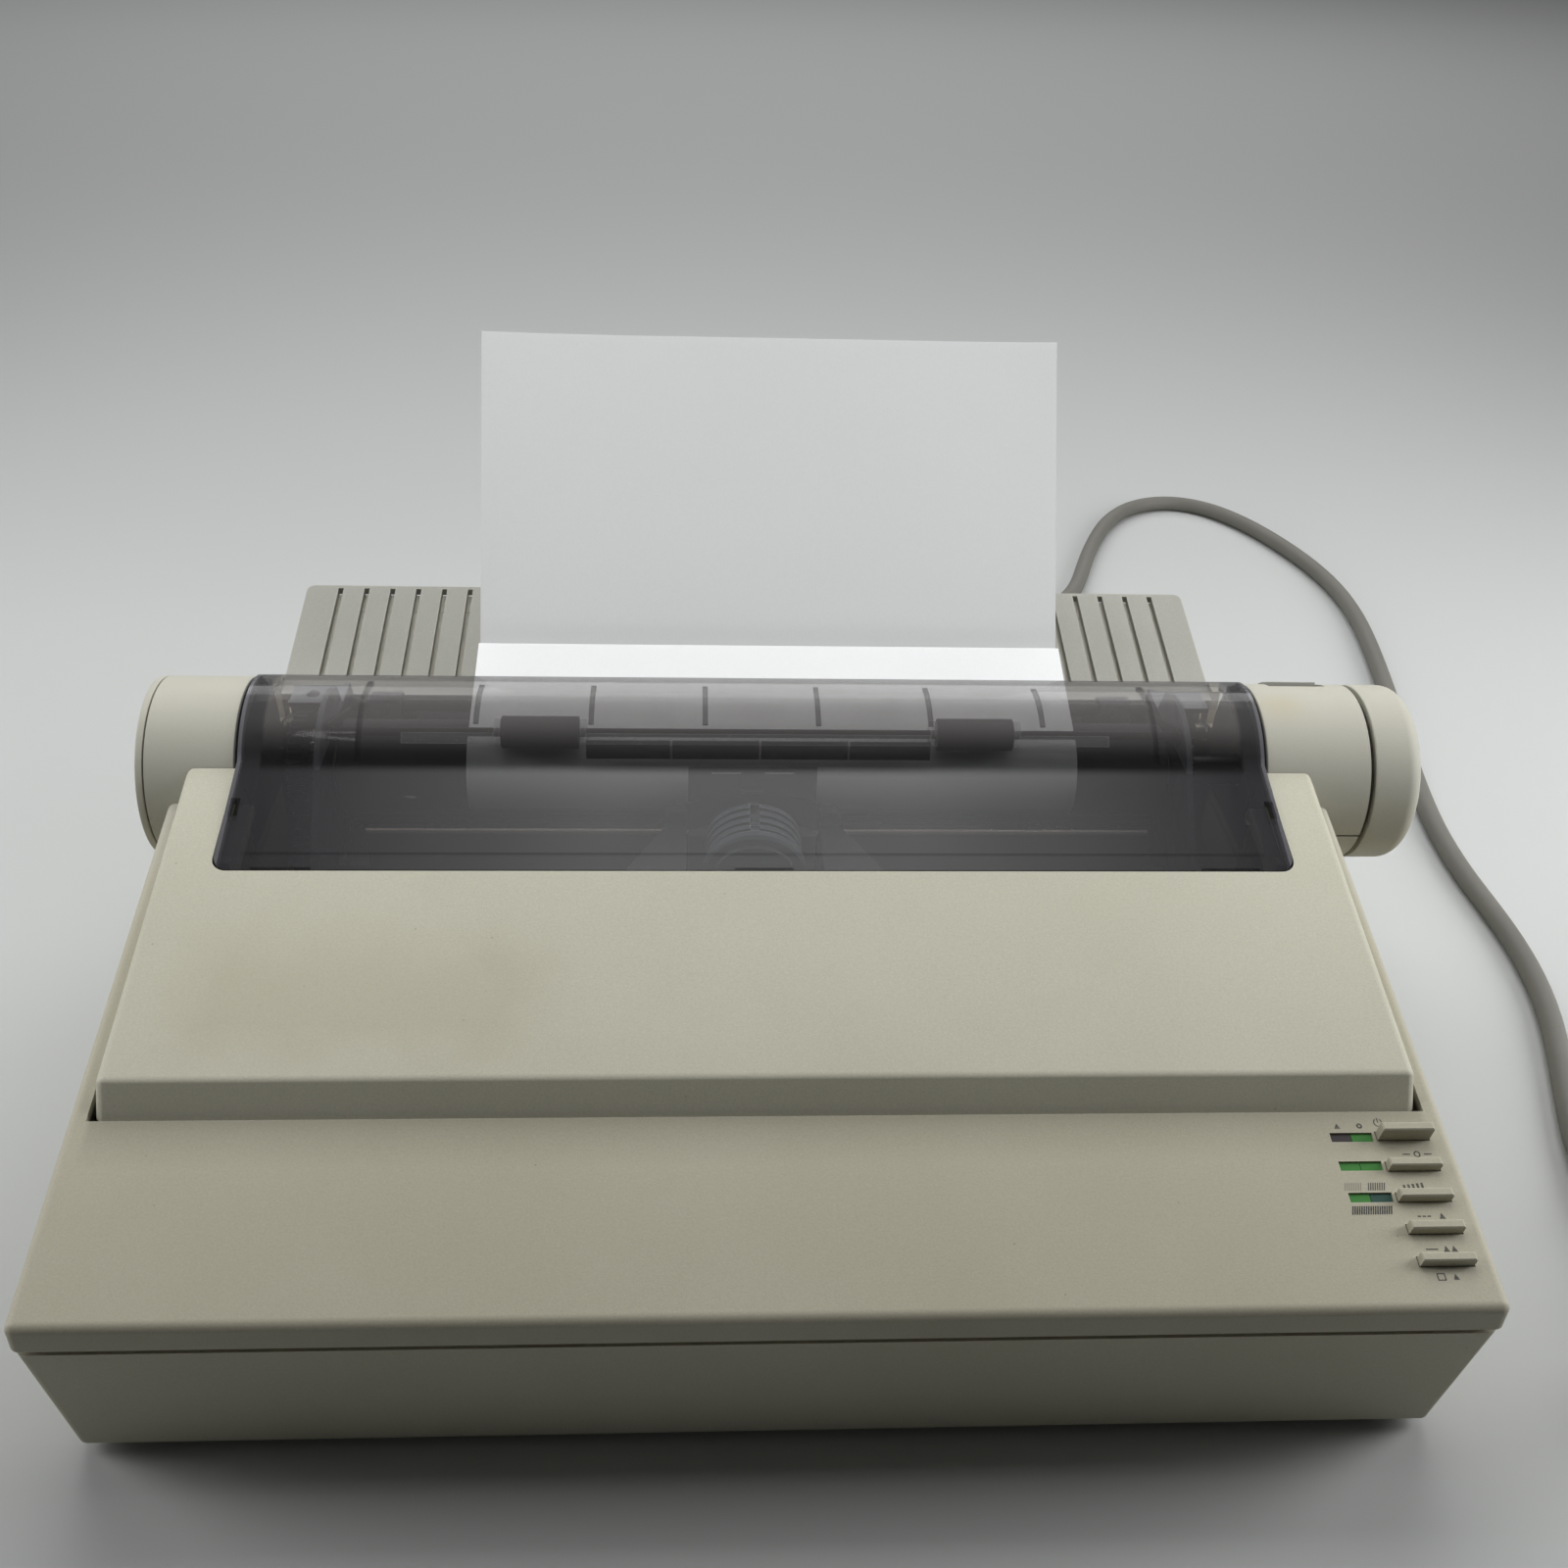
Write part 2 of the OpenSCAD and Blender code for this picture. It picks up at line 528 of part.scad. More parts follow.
// The smoked cover bends from a flat flap into an arc over the platen
flap_a = 143.3;
cover_back_a = 68;
crease = polar(cover_r, flap_a);
border_t = 2.6;
latch_y = 159.5;
latch_len = 7;
notch_d = 0.8;
side_notch = [141, 160];
mid_notch = [-9, 9.7];
flap_slope = (crease[1] - lid_z(window_front)) / (crease[0] - window_front);
function flap_z(y) = lid_z(window_front) + flap_slope * (y - window_front);
module flap(x0, x1, y0, t) along_x(x0, x1) polygon([[y0, flap_z(y0)], crease,
    crease - t * [cos(flap_a + 14), sin(flap_a + 14)], [y0, flap_z(y0) - t]]);
module carrier_cover() color(smoke) seat() difference() {
    union() {
        ring_x(-cover_x, cover_x, cover_r - cover_t, cover_r, cover_back_a, flap_a);
        flap(-cover_x, cover_x, window_front, cover_t);
        both() {
            ring_x(cover_inner_x, cover_x, cover_r - cover_t - 1.4, cover_r - 0.5, cover_back_a, flap_a);
            flap(cover_inner_x, cover_x, window_front, border_t);
            rod_x(cover_inner_x + 4, cover_x, cover_pin_r + 1.2, cover_pin);
            rod_x(cover_x - 1, bay_x + wall, cover_pin_r, cover_pin);
        }
        flap_front();
        // Ribs under the arc, long at both ends and short between them
        for (i = [-3.5:3.5]) let (x = i * rib_pitch + 0.8, long = abs(i) > 3)
            ring_x(x - rib_t / 2, x + rib_t / 2, cover_r - cover_t - (long ? 1.6 : 1), cover_r - cover_t / 2,
                cover_back_a + (long ? 1 : 8),
                long ? flap_a : flap_a - 26);
    }
    both() {
        corner_cut(cover_x, window_front, 5, 1, -1, flap_z(window_front) - 8, flap_z(window_front) + 8);
        // Latch window in the border
        box([cover_x - 4, latch_y, under], [cover_x - 1, latch_y + latch_len, over]);
        front_notch(side_notch);
    }
    front_notch(mid_notch);
}
module front_notch(x) box([x[0], window_front - 1, under], [x[1], window_front + notch_d, over]);
module flap_front() along_x(-cover_x, cover_x) polygon([[window_front, flap_z(window_front)],
    [window_front + 8, flap_z(window_front + 8)],
    [window_front + 8, flap_z(window_front + 8) - border_t], [window_front,
        flap_z(window_front) - border_t]]);

// The slotted rack behind the drum folds up about its front edge
rack_band = 9;
rack_rim = 1.5;
module paper_rack() color(beige) seat() difference() {
    union() {
        along_x(-rack_x, rack_x) polygon([[rack_front, rack_z(rack_front)], [rack_back, rack_z(rack_back)],
            [rack_back, rack_z(rack_back) - rack_t], [rack_front, rack_z(rack_front) - rack_t]]);
        both() rod_x(rack_x - 2, rack_x + gap + 2.8, rack_pin_r, rack_pin);
    }
    for (i = [-(slot_count - 1) / 2:(slot_count - 1) / 2])
        box([i * slot_pitch - slot_w / 2, rack_front + rack_band, under],
            [i * slot_pitch + slot_w / 2, rack_back - rack_rim, over]);
    both() corner_cut(rack_x, rack_back, 3, 1, 1, under, over);
}

// Chassis
frame_x = 146;
frame_t = 2;
bail_c = polar(feed_r + sheet_t / 2 + gap + roller_r, bail_dir);
bail_pin = [drum_y + 20.6, drum_z + 8];
flange_x = 165;
pinch_r = 5;
pinch_c = polar(feed_r + sheet_t / 2 + gap + pinch_r, -90);
tractor_rod_c = tractor_c + 13.5 * sheet_dir + 0.9 * sheet_back;
module base_plate() color(steel) seat() difference() {
    union() {
        box([-plate_x, plate_y0, plate_z], [plate_x, plate_y1, plate_z + plate_t]);
        box([-plate_x, plate_y0, plate_z], [plate_x, plate_y0 + plate_t, plate_z + 8]);
        box([-plate_x, plate_y1 - plate_t, plate_z], [plate_x, plate_y1, plate_z + 8]);
        // Stud of the free belt pulley
        translate([belt_x, belt_y, plate_z]) cylinder(r = 5, h = belt_z - 2 - plate_z, $fn = 36);
        translate([belt_x, belt_y, plate_z]) cylinder(r = 1.5, h = belt_z + belt_w + 1 - plate_z, $fn = 32);
    }
    at_posts() translate([0, 0, plate_z - 1]) cylinder(r = 1.8, h = plate_t + 2, $fn = 32);
}
frame_foot = plate_z + plate_t;
frame_y0 = 154;
frame_y1 = drum_y + 48.6;
flange_y0 = 226;
flange_y1 = 238;
flange_z = 110.5;
bush_r = shaft_r + 2.5;
square_r = 3.4;
module frame_side(hole) difference() {
    union() {
        along_x(frame_x, frame_x + frame_t) polygon(concat(
            [[frame_y0, frame_foot], [plate_y1 - 6, frame_foot], [plate_y1 - 6, 58], [frame_y1, 70],
                [frame_y1, 84]],
            [[frame_y1 - 10, 96], [flange_y1 + 2, flange_z], [flange_y0, flange_z]],
            arc([drum_y, drum_z], drum_r - 3.4, 60, 150, 8), [[frame_y0 + 6, 84], [frame_y0, 76]]));
        box([frame_x, flange_y0, flange_z - frame_t], [flange_x, flange_y1, flange_z]);
        box([frame_x, frame_y0 + 4, frame_foot], [frame_x + 12, plate_y1 - 10, frame_foot + frame_t]);
        rod_x(frame_x + 0.5, crank_x + 4.4, spring_pin_r, spring_pin);
    }
    rod_x(frame_x - 1, frame_x + frame_t + 1, bush_r, [drum_y, drum_z]);
    rod_x(frame_x - 1, frame_x + frame_t + 1, rod_r, [rod_y, rod_z]);
    rod_x(frame_x - 1, frame_x + frame_t + 1, square_r + 0.6, tractor_c);
    rod_x(frame_x - 1, frame_x + frame_t + 1, 2.5, tractor_rod_c);
    rod_x(frame_x - 1, frame_x + frame_t + 1, 1.5 + fit, bail_pin);
    rod_x(frame_x - 1, frame_x + frame_t + 1, 2 + fit, pinch_c);
    if (hole) translate([(frame_x + flange_x) / 2 + 2, (flange_y0 + flange_y1) / 2, flange_z - 10])
        cylinder(r = 2.4, h = 20, $fn = 40);
}
module frame_left() color(steel) seat() mirror([1, 0, 0]) difference() {
    frame_side(true);
    rod_x(frame_x - 1, frame_x + frame_t + 1, 4, pinion_c);
    for (a = [45:90:315]) rod_x(frame_x - 1, frame_x + frame_t + 1, 1.3, pinion_c + 13 * [cos(a), sin(a)]);
}
module frame_right() color(steel) seat() frame_side(false);
module platen_bushes() color("white") seat() both() difference() {
    union() {
        rod_x(frame_x - 0.8, frame_x + frame_t + 1, bush_r, [drum_y, drum_z]);
        rod_x(frame_x + frame_t + 0.001, frame_x + frame_t + 1, bush_r + 2, [drum_y, drum_z]);
    }
    rod_x(frame_x - 2, frame_x + frame_t + 3, shaft_r + fit, [drum_y, drum_z]);
}
pan_r = feed_r + sheet_t / 2 + 1;
pan_x = 140;
module paper_pan() color(steel) seat() difference() {
    union() {
        ring_x(-pan_x, pan_x, pan_r, pan_r + 0.8, -155, -24);
        // A foot that stands on the base plate
        both() box([pan_x - 40, drum_y - 14, frame_foot], [pan_x - 38.5, drum_y - 7, drum_z - pan_r + 2]);
        both() box([pan_x - 52, drum_y - 14, frame_foot], [pan_x - 38.5, drum_y - 7, frame_foot + 1.2]);
    }
    for (x = pinch_x) rod_x(x - pinch_w / 2 - 1, x + pinch_w / 2 + 1, pinch_r + 1.2, pinch_c);
}
pinch_x = [-82, -28, 38, 92];
pinch_w = 14;
module pinch_rollers() color(black) seat() {
    rod_x(-frame_x - frame_t, frame_x + frame_t, 2, pinch_c);
    for (x = pinch_x) rod_x(x - pinch_w / 2, x + pinch_w / 2, pinch_r, pinch_c);
}
// A fixed guide behind the tractors, with a notched top edge
guide_off = 12.8;
guide_s = 21.5;
function along_sheet(s, off) = sheet_low + s * sheet_dir + off * sheet_back;
guide_x = 124;
module rear_guide() color("#8b8c88") seat() difference() {
    union() {
        along_x(-guide_x, guide_x) polygon([along_sheet(-2, guide_off), along_sheet(guide_s, guide_off),
            along_sheet(guide_s, guide_off) + [1.4, 0.4], along_sheet(guide_s - 2, guide_off + 1.2),
                along_sheet(-2, guide_off + 1.2)]);
        // Legs that stand on the base plate
        both() along_x(guide_x - 4, guide_x - 2) polygon([[plate_y1 - 20, frame_foot], [plate_y1 - 14,
            frame_foot],
            [frame_y1 - 8, 84], along_sheet(guide_s - 6, guide_off + 1.1), along_sheet(2, guide_off + 1.1),
            [frame_y1 - 14, 76]]);
    }
    for (i = [-11:10]) box([i * 10.5 + 4, along_sheet(guide_s, guide_off)[0] + 0.2, under],
        [i * 10.5 + 8, frame_y1 + 6, over]);
}
rail_y = 184.6;
rail_top = 85;
module guide_rail() color("silver") seat() {
    box([-frame_x + 12, rail_y, rod_z - 8], [frame_x - 9, rail_y + 1.2, rail_top]);
    box([-frame_x, rail_y, rod_z - 8], [frame_x, rail_y + 1.2, rod_z + 4]);
}

// Platen and its gears
module platen() color(black) seat() difference() {
    rod_x(-platen_x, platen_x, platen_r, [drum_y, drum_z], 120);
    rod_x(-platen_x - 1, platen_x + 1, shaft_r, [drum_y, drum_z]);
}
gear_x1 = -frame_x - frame_t - 6;
gear_x0 = gear_x1 - gear_w;
knob_x0 = right_end + knob_gap;
module platen_shaft() color("silver") seat() rod_x(gear_x0 - 2, knob_end - 6, shaft_r, [drum_y, drum_z]);
module platen_gear() color("ivory") seat() gear(gear_x0, gear_x1, [drum_y, drum_z], platen_teeth,
    platen_turn, shaft_r);
module platen_knob() color(beige) seat() translate([knob_x0, drum_y, drum_z]) rotate([0, 90,
    0]) difference() {
    rotate_extrude($fn = 120) polygon(concat([[0, -1.4], [shaft_r + 3, -1.4], [shaft_r + 3, 3],
        [drum_r - wall, 3], [drum_r - wall, 0], [drum_r, 0]],
        arc([drum_r - knob_round, knob_w - knob_round], knob_round, 0, 90, 8), [[0, knob_w]]));
    translate([0, 0, -2]) cylinder(r = shaft_r, h = knob_w - 4, $fn = 48);
}
module feed_idler() color("ivory") seat() gear(gear_x0, gear_x1, idler_c, idler_teeth, idler_turn,
    2.5 + fit);
module feed_pinion() color("goldenrod") seat() gear(gear_x0, gear_x1, pinion_c, pinion_teeth,
    pinion_turn, 1.5);
motor_r = 17.5;
module feed_motor() color(steel) seat() {
    rod_x(-frame_x, -frame_x + 26, motor_r, pinion_c);
    rod_x(gear_x0 - 1, -frame_x + 1, 1.45, pinion_c);
    // Stud of the idler
    rod_x(gear_x0 - 1, -frame_x - frame_t, 2.5, idler_c);
    along_x(-frame_x, -frame_x + 1.5) translate(pinion_c) square(motor_r * 2, center = true);
}

// Pin tractors on a square shaft
tractor_x = 128;
tractor_w = 11;
tractor_wheel = 4.9;
tractor_bore = 4.5;
module tractor_body(x) difference() {
    union() {
        // Pins that the holes of fan-fold paper drop on to
        for (s = [0, 12]) let (c = tractor_c + s * sheet_dir - tractor_wheel * sheet_back)
            translate([x + tractor_w / 2, c[0], c[1]]) rotate([sheet_rise, 0, 0]) cylinder(r = 1.6,
                h = 2.6, $fn = 24);
        tractor_form(x);
    }
    rod_x(x - 1, x + tractor_w + 1, tractor_bore, tractor_c);
    rod_x(x - 1, x + tractor_w + 1, 2.5 + fit, tractor_rod_c);
}
module tractor_form(x) along_x(x, x + tractor_w) {
    translate(tractor_c) circle(tractor_wheel + 1, $fn = 48);
    translate(tractor_rod_c) circle(tractor_wheel, $fn = 48);
    polygon([tractor_c + (tractor_wheel + 1) * sheet_back, tractor_rod_c + tractor_wheel * sheet_back,
        tractor_rod_c - tractor_wheel * sheet_back, tractor_c - (tractor_wheel + 1) * sheet_back]);
}
module tractor_left() color(black) seat() tractor_body(-tractor_x - tractor_w);
module tractor_right() color(black) seat() tractor_body(tractor_x);
module tractor_shaft() color("silver") seat() {
    along_x(-frame_x + 0.5, frame_x - 0.5) translate(tractor_c) rotate(sheet_rise) square(6, center = true);
    rod_x(frame_x - 0.5, frame_x + frame_t + 1.5, square_r + 0.55, tractor_c);
    rod_x(gear_x1 - 0.1, -frame_x + 0.5, square_r + 0.55, tractor_c);
    gear(gear_x0, gear_x1, tractor_c, tractor_teeth, tractor_turn, 0.1);
}
module tractor_rod() color("silver") seat() rod_x(-frame_x - frame_t, frame_x + frame_t, 2.5 - 0.01,
    tractor_rod_c);

// Paper bail
bail_r = 1.5;
bail_arm_x = 144.2;
crank_x = frame_x + frame_t + 0.5;
crank_end = [202, 112.5];
spring_pin = [195, 99.5];
spring_pin_r = 0.8;
module link(a, ra, b, rb) hull() {
    translate(a) circle(ra, $fn = 24);
    translate(b) circle(rb, $fn = 24);
}
module paper_bail() color("silver") seat() {
    rod_x(-bail_arm_x - 0.5, bail_arm_x + 0.5, bail_r, bail_c);
    both() {
        along_x(bail_arm_x - 0.2, bail_arm_x + 1.2) link(bail_c, 3, bail_pin, 3);
        rod_x(bail_arm_x, crank_x + 1, 1.5, bail_pin);
        // Crank outside the frame that the spring pulls down
        along_x(crank_x, crank_x + 1) link(bail_pin, 2.6, crank_end, 1.6);
        rod_x(crank_x + 0.5, crank_x + 4.4, spring_pin_r, crank_end);
    }
}
module bail_roller(x) difference() {
    rod_x(x - roller_len / 2, x + roller_len / 2, roller_r, bail_c, 72);
    rod_x(x - roller_len, x + roller_len, bail_r + fit, bail_c);
}
module bail_roller_left() color(black) seat() bail_roller(-roller_off);
module bail_roller_right() color(black) seat() bail_roller(roller_off);
// A clear strip with holders beside each roller
holder_w = 2.2;
guide_in = 24;
module bail_guide() color([0.8, 0.83, 0.85, 0.5]) seat() difference() {
    union() {
        along_x(-bail_arm_x + guide_in, bail_arm_x - guide_in) polygon([bail_c + [-4.6, -1.6], bail_c + [-2.2, 1.2],
            bail_c + [-3.0, 1.6], bail_c + [-5.6, -1.2]]);
        for (x = [-1, 1], s = [-1, 1]) let (c = x * roller_off + s * (roller_len / 2 + gap + holder_w / 2))
            rod_x(c - holder_w / 2, c + holder_w / 2, 4.6, bail_c, 36);
    }
    for (x = [-1, 1]) rod_x(x * roller_off - roller_len / 2 - gap, x * roller_off + roller_len / 2 + gap,
        roller_r + 0.4, bail_c);
    rod_x(-sheet_w, sheet_w, bail_r + fit, bail_c);
}
// Springs that draw the bail arms down to the side frames
spring_turns = 7;
spring_r = 1.7;
spring_wire = 0.45;
spring_x = crank_x + 2.5;
hook_r = spring_pin_r + spring_wire + 0.1;
hook_h = 2.2;
module spring(x) {
    line = crank_end - spring_pin;
    d = [0, line[0], line[1]] / norm(line);
    n = [0, d[2], -d[1]];
    low = [x, spring_pin[0], spring_pin[1]];
    high = [x, crank_end[0], crank_end[1]];
    rise = norm(line) - 2 * hook_h;
    steps = 8 * spring_turns;
    tube(concat([for (a = [0:-45:-180]) low + hook_r * (n * cos(a) + d * sin(a))],
        [for (i = [0:steps]) let (a = 180 + 45 * i, along = hook_h + rise * i / steps)
            low + along * d + spring_r * (cos(a) * n + [sin(a), 0, 0])],
        [for (a = [180:-45:0]) high + hook_r * (n * cos(a) + d * sin(a))]), spring_wire, 6,
        concat([for (i = [0:4]) [1, 0, 0]], [for (i = [0:steps]) i == 0 || i == steps ? d + [1, 0,
            0] : d], [for (i = [0:4]) [1, 0, 0]]));
}
module bail_springs() color("silver") seat() for (sx = [-1, 1]) spring(sx * spring_x);
lever_hub_x = 190;
module release_lever() color(beige) seat() difference() {
    union() {
        rod_x(lever_hub_x - 1.5, lever_hub_x + 1.5, shaft_r + 5, [drum_y, drum_z]);
        along_x(lever_hub_x - 1.5, lever_hub_x + 1.5) translate([drum_y, drum_z]) rotate(lever_a)
            translate([0, -2.5]) square([drum_r, 5]);
        ring_x(lever_x0, lever_x1, drum_r - 1.5, drum_r + paddle_rise, lever_a - paddle_a, lever_a + paddle_a);
    }
    rod_x(lever_hub_x - 3, lever_hub_x + 3, shaft_r + fit, [drum_y, drum_z]);
}

// Print carriage, drawn about its own middle
carriage_mid = -2;
carriage_top = 72;
belt_z = 46;
belt_w = 6;
belt_y = 130;
belt_tab_x = 10;
belt_x = carriage_travel + belt_tab_x + 2 * pulley_r + 10;
belt_tab = belt_y + pulley_r + 1;
module on_carriage() seat() translate([carriage_mid, 0, 0]) children();
module carriage() color(black) on_carriage() difference() {
    union() {
        box([-carriage_w / 2, rod_y - 16, rod_z - 8], [carriage_w / 2, rail_y - gap, carriage_top]);
        box([-belt_tab_x, belt_tab, belt_z], [belt_tab_x, belt_tab + 2.5, rod_z - 4]);
        box([-belt_tab_x, belt_tab, rod_z - 7], [belt_tab_x, rod_y - 14, rod_z - 4]);
        both() box([carriage_w / 2 - 5, rod_y - 15, carriage_top - 0.1], [carriage_w / 2 - 2.5,
            rod_y + 6, carriage_top + 5]);
    }
    rod_x(-carriage_w, carriage_w, rod_r + 0.06, [rod_y, rod_z]);
    box([-carriage_w / 2 + 6, rod_y - 10, rod_z - 9], [carriage_w / 2 - 6, rod_y + 10, rod_z - 6]);
}
// The round head leans up so that its nose points at the platen's axis
head_y = 157;
head_lean = atan((drum_z - head_z) / (drum_y - head_y));
nose_len = norm([drum_y - head_y, drum_z - head_z]) - feed_r - 3.2;
module head_axis() translate([0, head_y, head_z]) rotate([head_lean - 90, 0, 0]) children();
module print_head() color("slategray") on_carriage() difference() {
    head_axis() rotate_extrude($fn = 64) polygon(concat(
        [[0, 0], [head_r - 4, 0], [head_r - 4, 1], [head_r - 1, 1], [head_r, 2], [head_r, 4],
            [head_r - 2, 4]],
        [for (i = [0:3]) each [[head_r - 4, 4.5 + 3.2 * i], [head_r - 4, 6 + 3.2 * i], [head_r - 1,
            6 + 3.2 * i], [head_r - 1, 7.7 + 3.2 * i]]],
        [[head_r - 5, 18], [10, 20], [4.5, nose_len - 4], [3.5, nose_len], [0, nose_len]]));
    // Groove along the top for the flat cable
    head_axis() translate([-1.6, -head_r - 2, 5]) cube([3.2, 5.5, 12]);
    box([-head_r - 2, head_y - 10, carriage_top - 16], [head_r + 2, head_y + 22, carriage_top]);
}
mask_y = 189.2;
mask_z = 85.6;
module ribbon_mask() color("#3a3b3d") on_carriage() difference() {
    union() {
        box([-22, mask_y, mask_z], [22, mask_y + 0.4, 108.4]);
        both() box([12, mask_y - 9, mask_z], [22, mask_y + 0.4, mask_z + 0.4]);
        both() box([12, mask_y - 9, carriage_top], [22, mask_y - 8.6, mask_z + 0.4]);
        both() box([12, mask_y - 9, carriage_top], [22, mask_y - 5, carriage_top + 0.5]);
    }
    box([-4, mask_y - 1, 89.5], [4, mask_y + 1, 99]);
    for (sx = [-1, 1]) box([sx * 9 - 5, mask_y - 1, 105.4], [sx * 9 + 5, mask_y + 1, 106.2]);
}
cart_z0 = carriage_top + 5.3;
cart_z1 = 93;
cart_y0 = 118;
arm_y = 181.4;
arm_top = 98.5;
ribbon_y = 188.45;
ribbon_z = 86.5;
module ribbon_cartridge() color(black) on_carriage() {
    difference() {
        union() {
            translate([0, 0, cart_z0]) linear_extrude(cart_z1 - cart_z0) polygon([[-40, cart_y0], [40,
                cart_y0], [42, cart_y0 + 6],
                [42, rod_y - 16], [27, arm_y], [22.6, arm_y], [22.6, rod_y - 18], [-22.6, rod_y - 18],
                [-22.6, arm_y], [-27, arm_y], [-42, rod_y - 16], [-42, cart_y0 + 6]]);
            // The ends of the arms stand as high as the ribbon
            both() translate([0, 0, cart_z1 - 1]) linear_extrude(arm_top - cart_z1 + 1) polygon([[22.6,
                arm_y], [27, arm_y], [29.5, arm_y - 5], [22.6, arm_y - 5]]);
            translate([-26, cart_y0 + 10, cart_z1 - 0.5]) cylinder(r = 6, h = 2.2, $fn = 36);
        }
        // Clearance for the round head, and a shallow recess
        head_axis() translate([0, 0, -6]) cylinder(r = head_r + 1, h = 50, $fn = 64);
        box([-18, cart_y0 + 5, cart_z1 - 0.6], [34, cart_y0 + 15, cart_z1 + 1]);
    }
    // Posts down to the carriage
    both() box([carriage_w / 2, rod_y - 12, carriage_top - 8], [25, rod_y - 6, carriage_top - 6]);
    both() box([23, rod_y - 12, carriage_top - 8], [25, rod_y - 6, cart_z0 + 0.1]);
    // The inked ribbon between the two arms
    translate([0, 0, ribbon_z]) linear_extrude(11.5) polygon([[-26.5, arm_y - 0.5], [-8, ribbon_y], [8,
        ribbon_y], [26.5, arm_y - 0.5],
        [26.5, arm_y - 0.2], [8, ribbon_y + 0.2], [-8, ribbon_y + 0.2], [-26.5, arm_y - 0.2]]);
}
module stadium(r) hull() for (sx = [-1, 1]) translate([sx * belt_x, belt_y]) circle(r, $fn = 32);
module drive_belt() color(black) seat() translate([0, 0, belt_z]) linear_extrude(belt_w) difference() {
    stadium(pulley_r + 0.6);
    stadium(pulley_r - 0.5);
}
module pulley(sx) seat() translate([sx * belt_x, belt_y, belt_z]) difference() {
    union() {
        translate([0, 0, -1.4]) cylinder(r = pulley_r - 0.85, h = belt_w + 2.8, $fn = 48);
        for (z = [-1.4, belt_w + 0.4]) translate([0, 0, z]) cylinder(r = pulley_r + 1, h = 1, $fn = 48);
    }
    translate([0, 0, -2]) cylinder(r = 1.5 + fit, h = belt_w + 5, $fn = 32);
}
module motor_pulley() color("goldenrod") pulley(-1);
module belt_pulley() color("ivory") pulley(1);
module carriage_motor() color(steel) seat() translate([-belt_x, belt_y, frame_foot]) {
    cylinder(r = motor_r, h = belt_z - 3 - frame_foot, $fn = 64);
    cylinder(r = 1.5, h = belt_z + belt_w + 1 - frame_foot, $fn = 32);
}
module carriage_rod() color("silver") seat() rod_x(-frame_x - frame_t, frame_x + frame_t, rod_r, [rod_y,
    rod_z]);

// Buttons, their board and the status windows, on the slope of the case top
module on_slope(y, h = 0) translate([0, y, top_z(y)]) rotate([top_slope, 0, 0]) translate([0, 0, h])
    children();
switch_h = 3;
board_drop = 7 + button_travel + gap + switch_h;
module button(i) color(beige) seat() on_slope(button_y[i]) {
    h = button_h + (i == 0 ? power_rise : 0);
    hull() {
        translate([button_x, -button_d / 2, -4]) cube([button_w, button_d, 3.6 + h]);
        translate([button_x + 0.4, -button_d / 2 + 0.4, -4]) cube([button_w - 0.8, button_d - 0.8, 4 + h]);
    }
    translate([button_x + button_w / 2 - 1.5, -1.2, -7]) cube([3, 2.4, 4]);
}
module power_button() button(0);
module select_button() button(1);
module quality_button() button(2);
module line_button() button(3);
module form_button() button(4);
panel_y = 32;
module button_board() color("darkgreen") seat() {
    on_slope(panel_y, -board_drop - 1.6) translate([lens_x0 - 4, -28, 0])
        cube([half_w - wall - 2 - lens_x0 + 4, 54, 1.6]);
    for (y = button_y) on_slope(y, -board_drop) translate([button_x + button_w / 2 - 3, -2.6, -0.1])
        cube([6, 5.2, switch_h + 0.1]);
}
module status_lenses() color("#1f7a3a") seat() for (y = lens_y, k = [0, 1]) on_slope(y, -board_drop)
    translate([lens_x0 + 0.15 + k * (lens_x1 - lens_x0) / 2, -lens_d / 2 + 0.15, 0])
        cube([(lens_x1 - lens_x0) / 2 - 0.2, lens_d - 0.3, board_drop - 0.7]);

// Electronics
logic_x0 = -168;
logic_x1 = 68;
board_y0 = 15;
board_y1 = 105;
board_t = 1.6;
supply_x0 = 84;
supply_x1 = 162;
// Chips, connector, transformer and heat sink: left, front, width, depth and height of each
LOGIC_BLOCKS = concat([for (i = [0:3]) [logic_x0 + 20 + i * 46, 50, 36, 14, 3]],
    [for (i = [0:4]) [logic_x0 + 16 + i * 30, 28, 18, 8, 3]], [[logic_x0 + 24, 80, 70, 8, 9]]);
SUPPLY_BLOCKS = [[supply_x0 + 12, 48, 50, 34, 34], [supply_x0 + 20, 41, 34, 48, 24], [supply_x0 + 50, 24,
    22, 3, 24]];
// Capacitors: middle, radius and height of each
LOGIC_CANS = [for (x = [30, 40], y = [80, 90]) [x, y, 4, 14]];
SUPPLY_CANS = [for (x = [14, 34]) [supply_x0 + x, 30, 8, 26]];
module board(x0, x1, blocks, cans) {
    box([x0, board_y0, board_z], [x1, board_y1, board_z + board_t]);
    for (b = blocks) translate([b[0], b[1], board_z + board_t - 0.1]) cube([b[2], b[3], b[4]]);
    for (c = cans) translate([c[0], c[1], board_z + board_t - 0.1]) cylinder(r = c[2], h = c[3], $fn = 36);
}
module logic_board() color("darkgreen") seat() board(logic_x0, logic_x1, LOGIC_BLOCKS, LOGIC_CANS);
module power_supply() color("goldenrod") seat() board(supply_x0, supply_x1, SUPPLY_BLOCKS, SUPPLY_CANS);
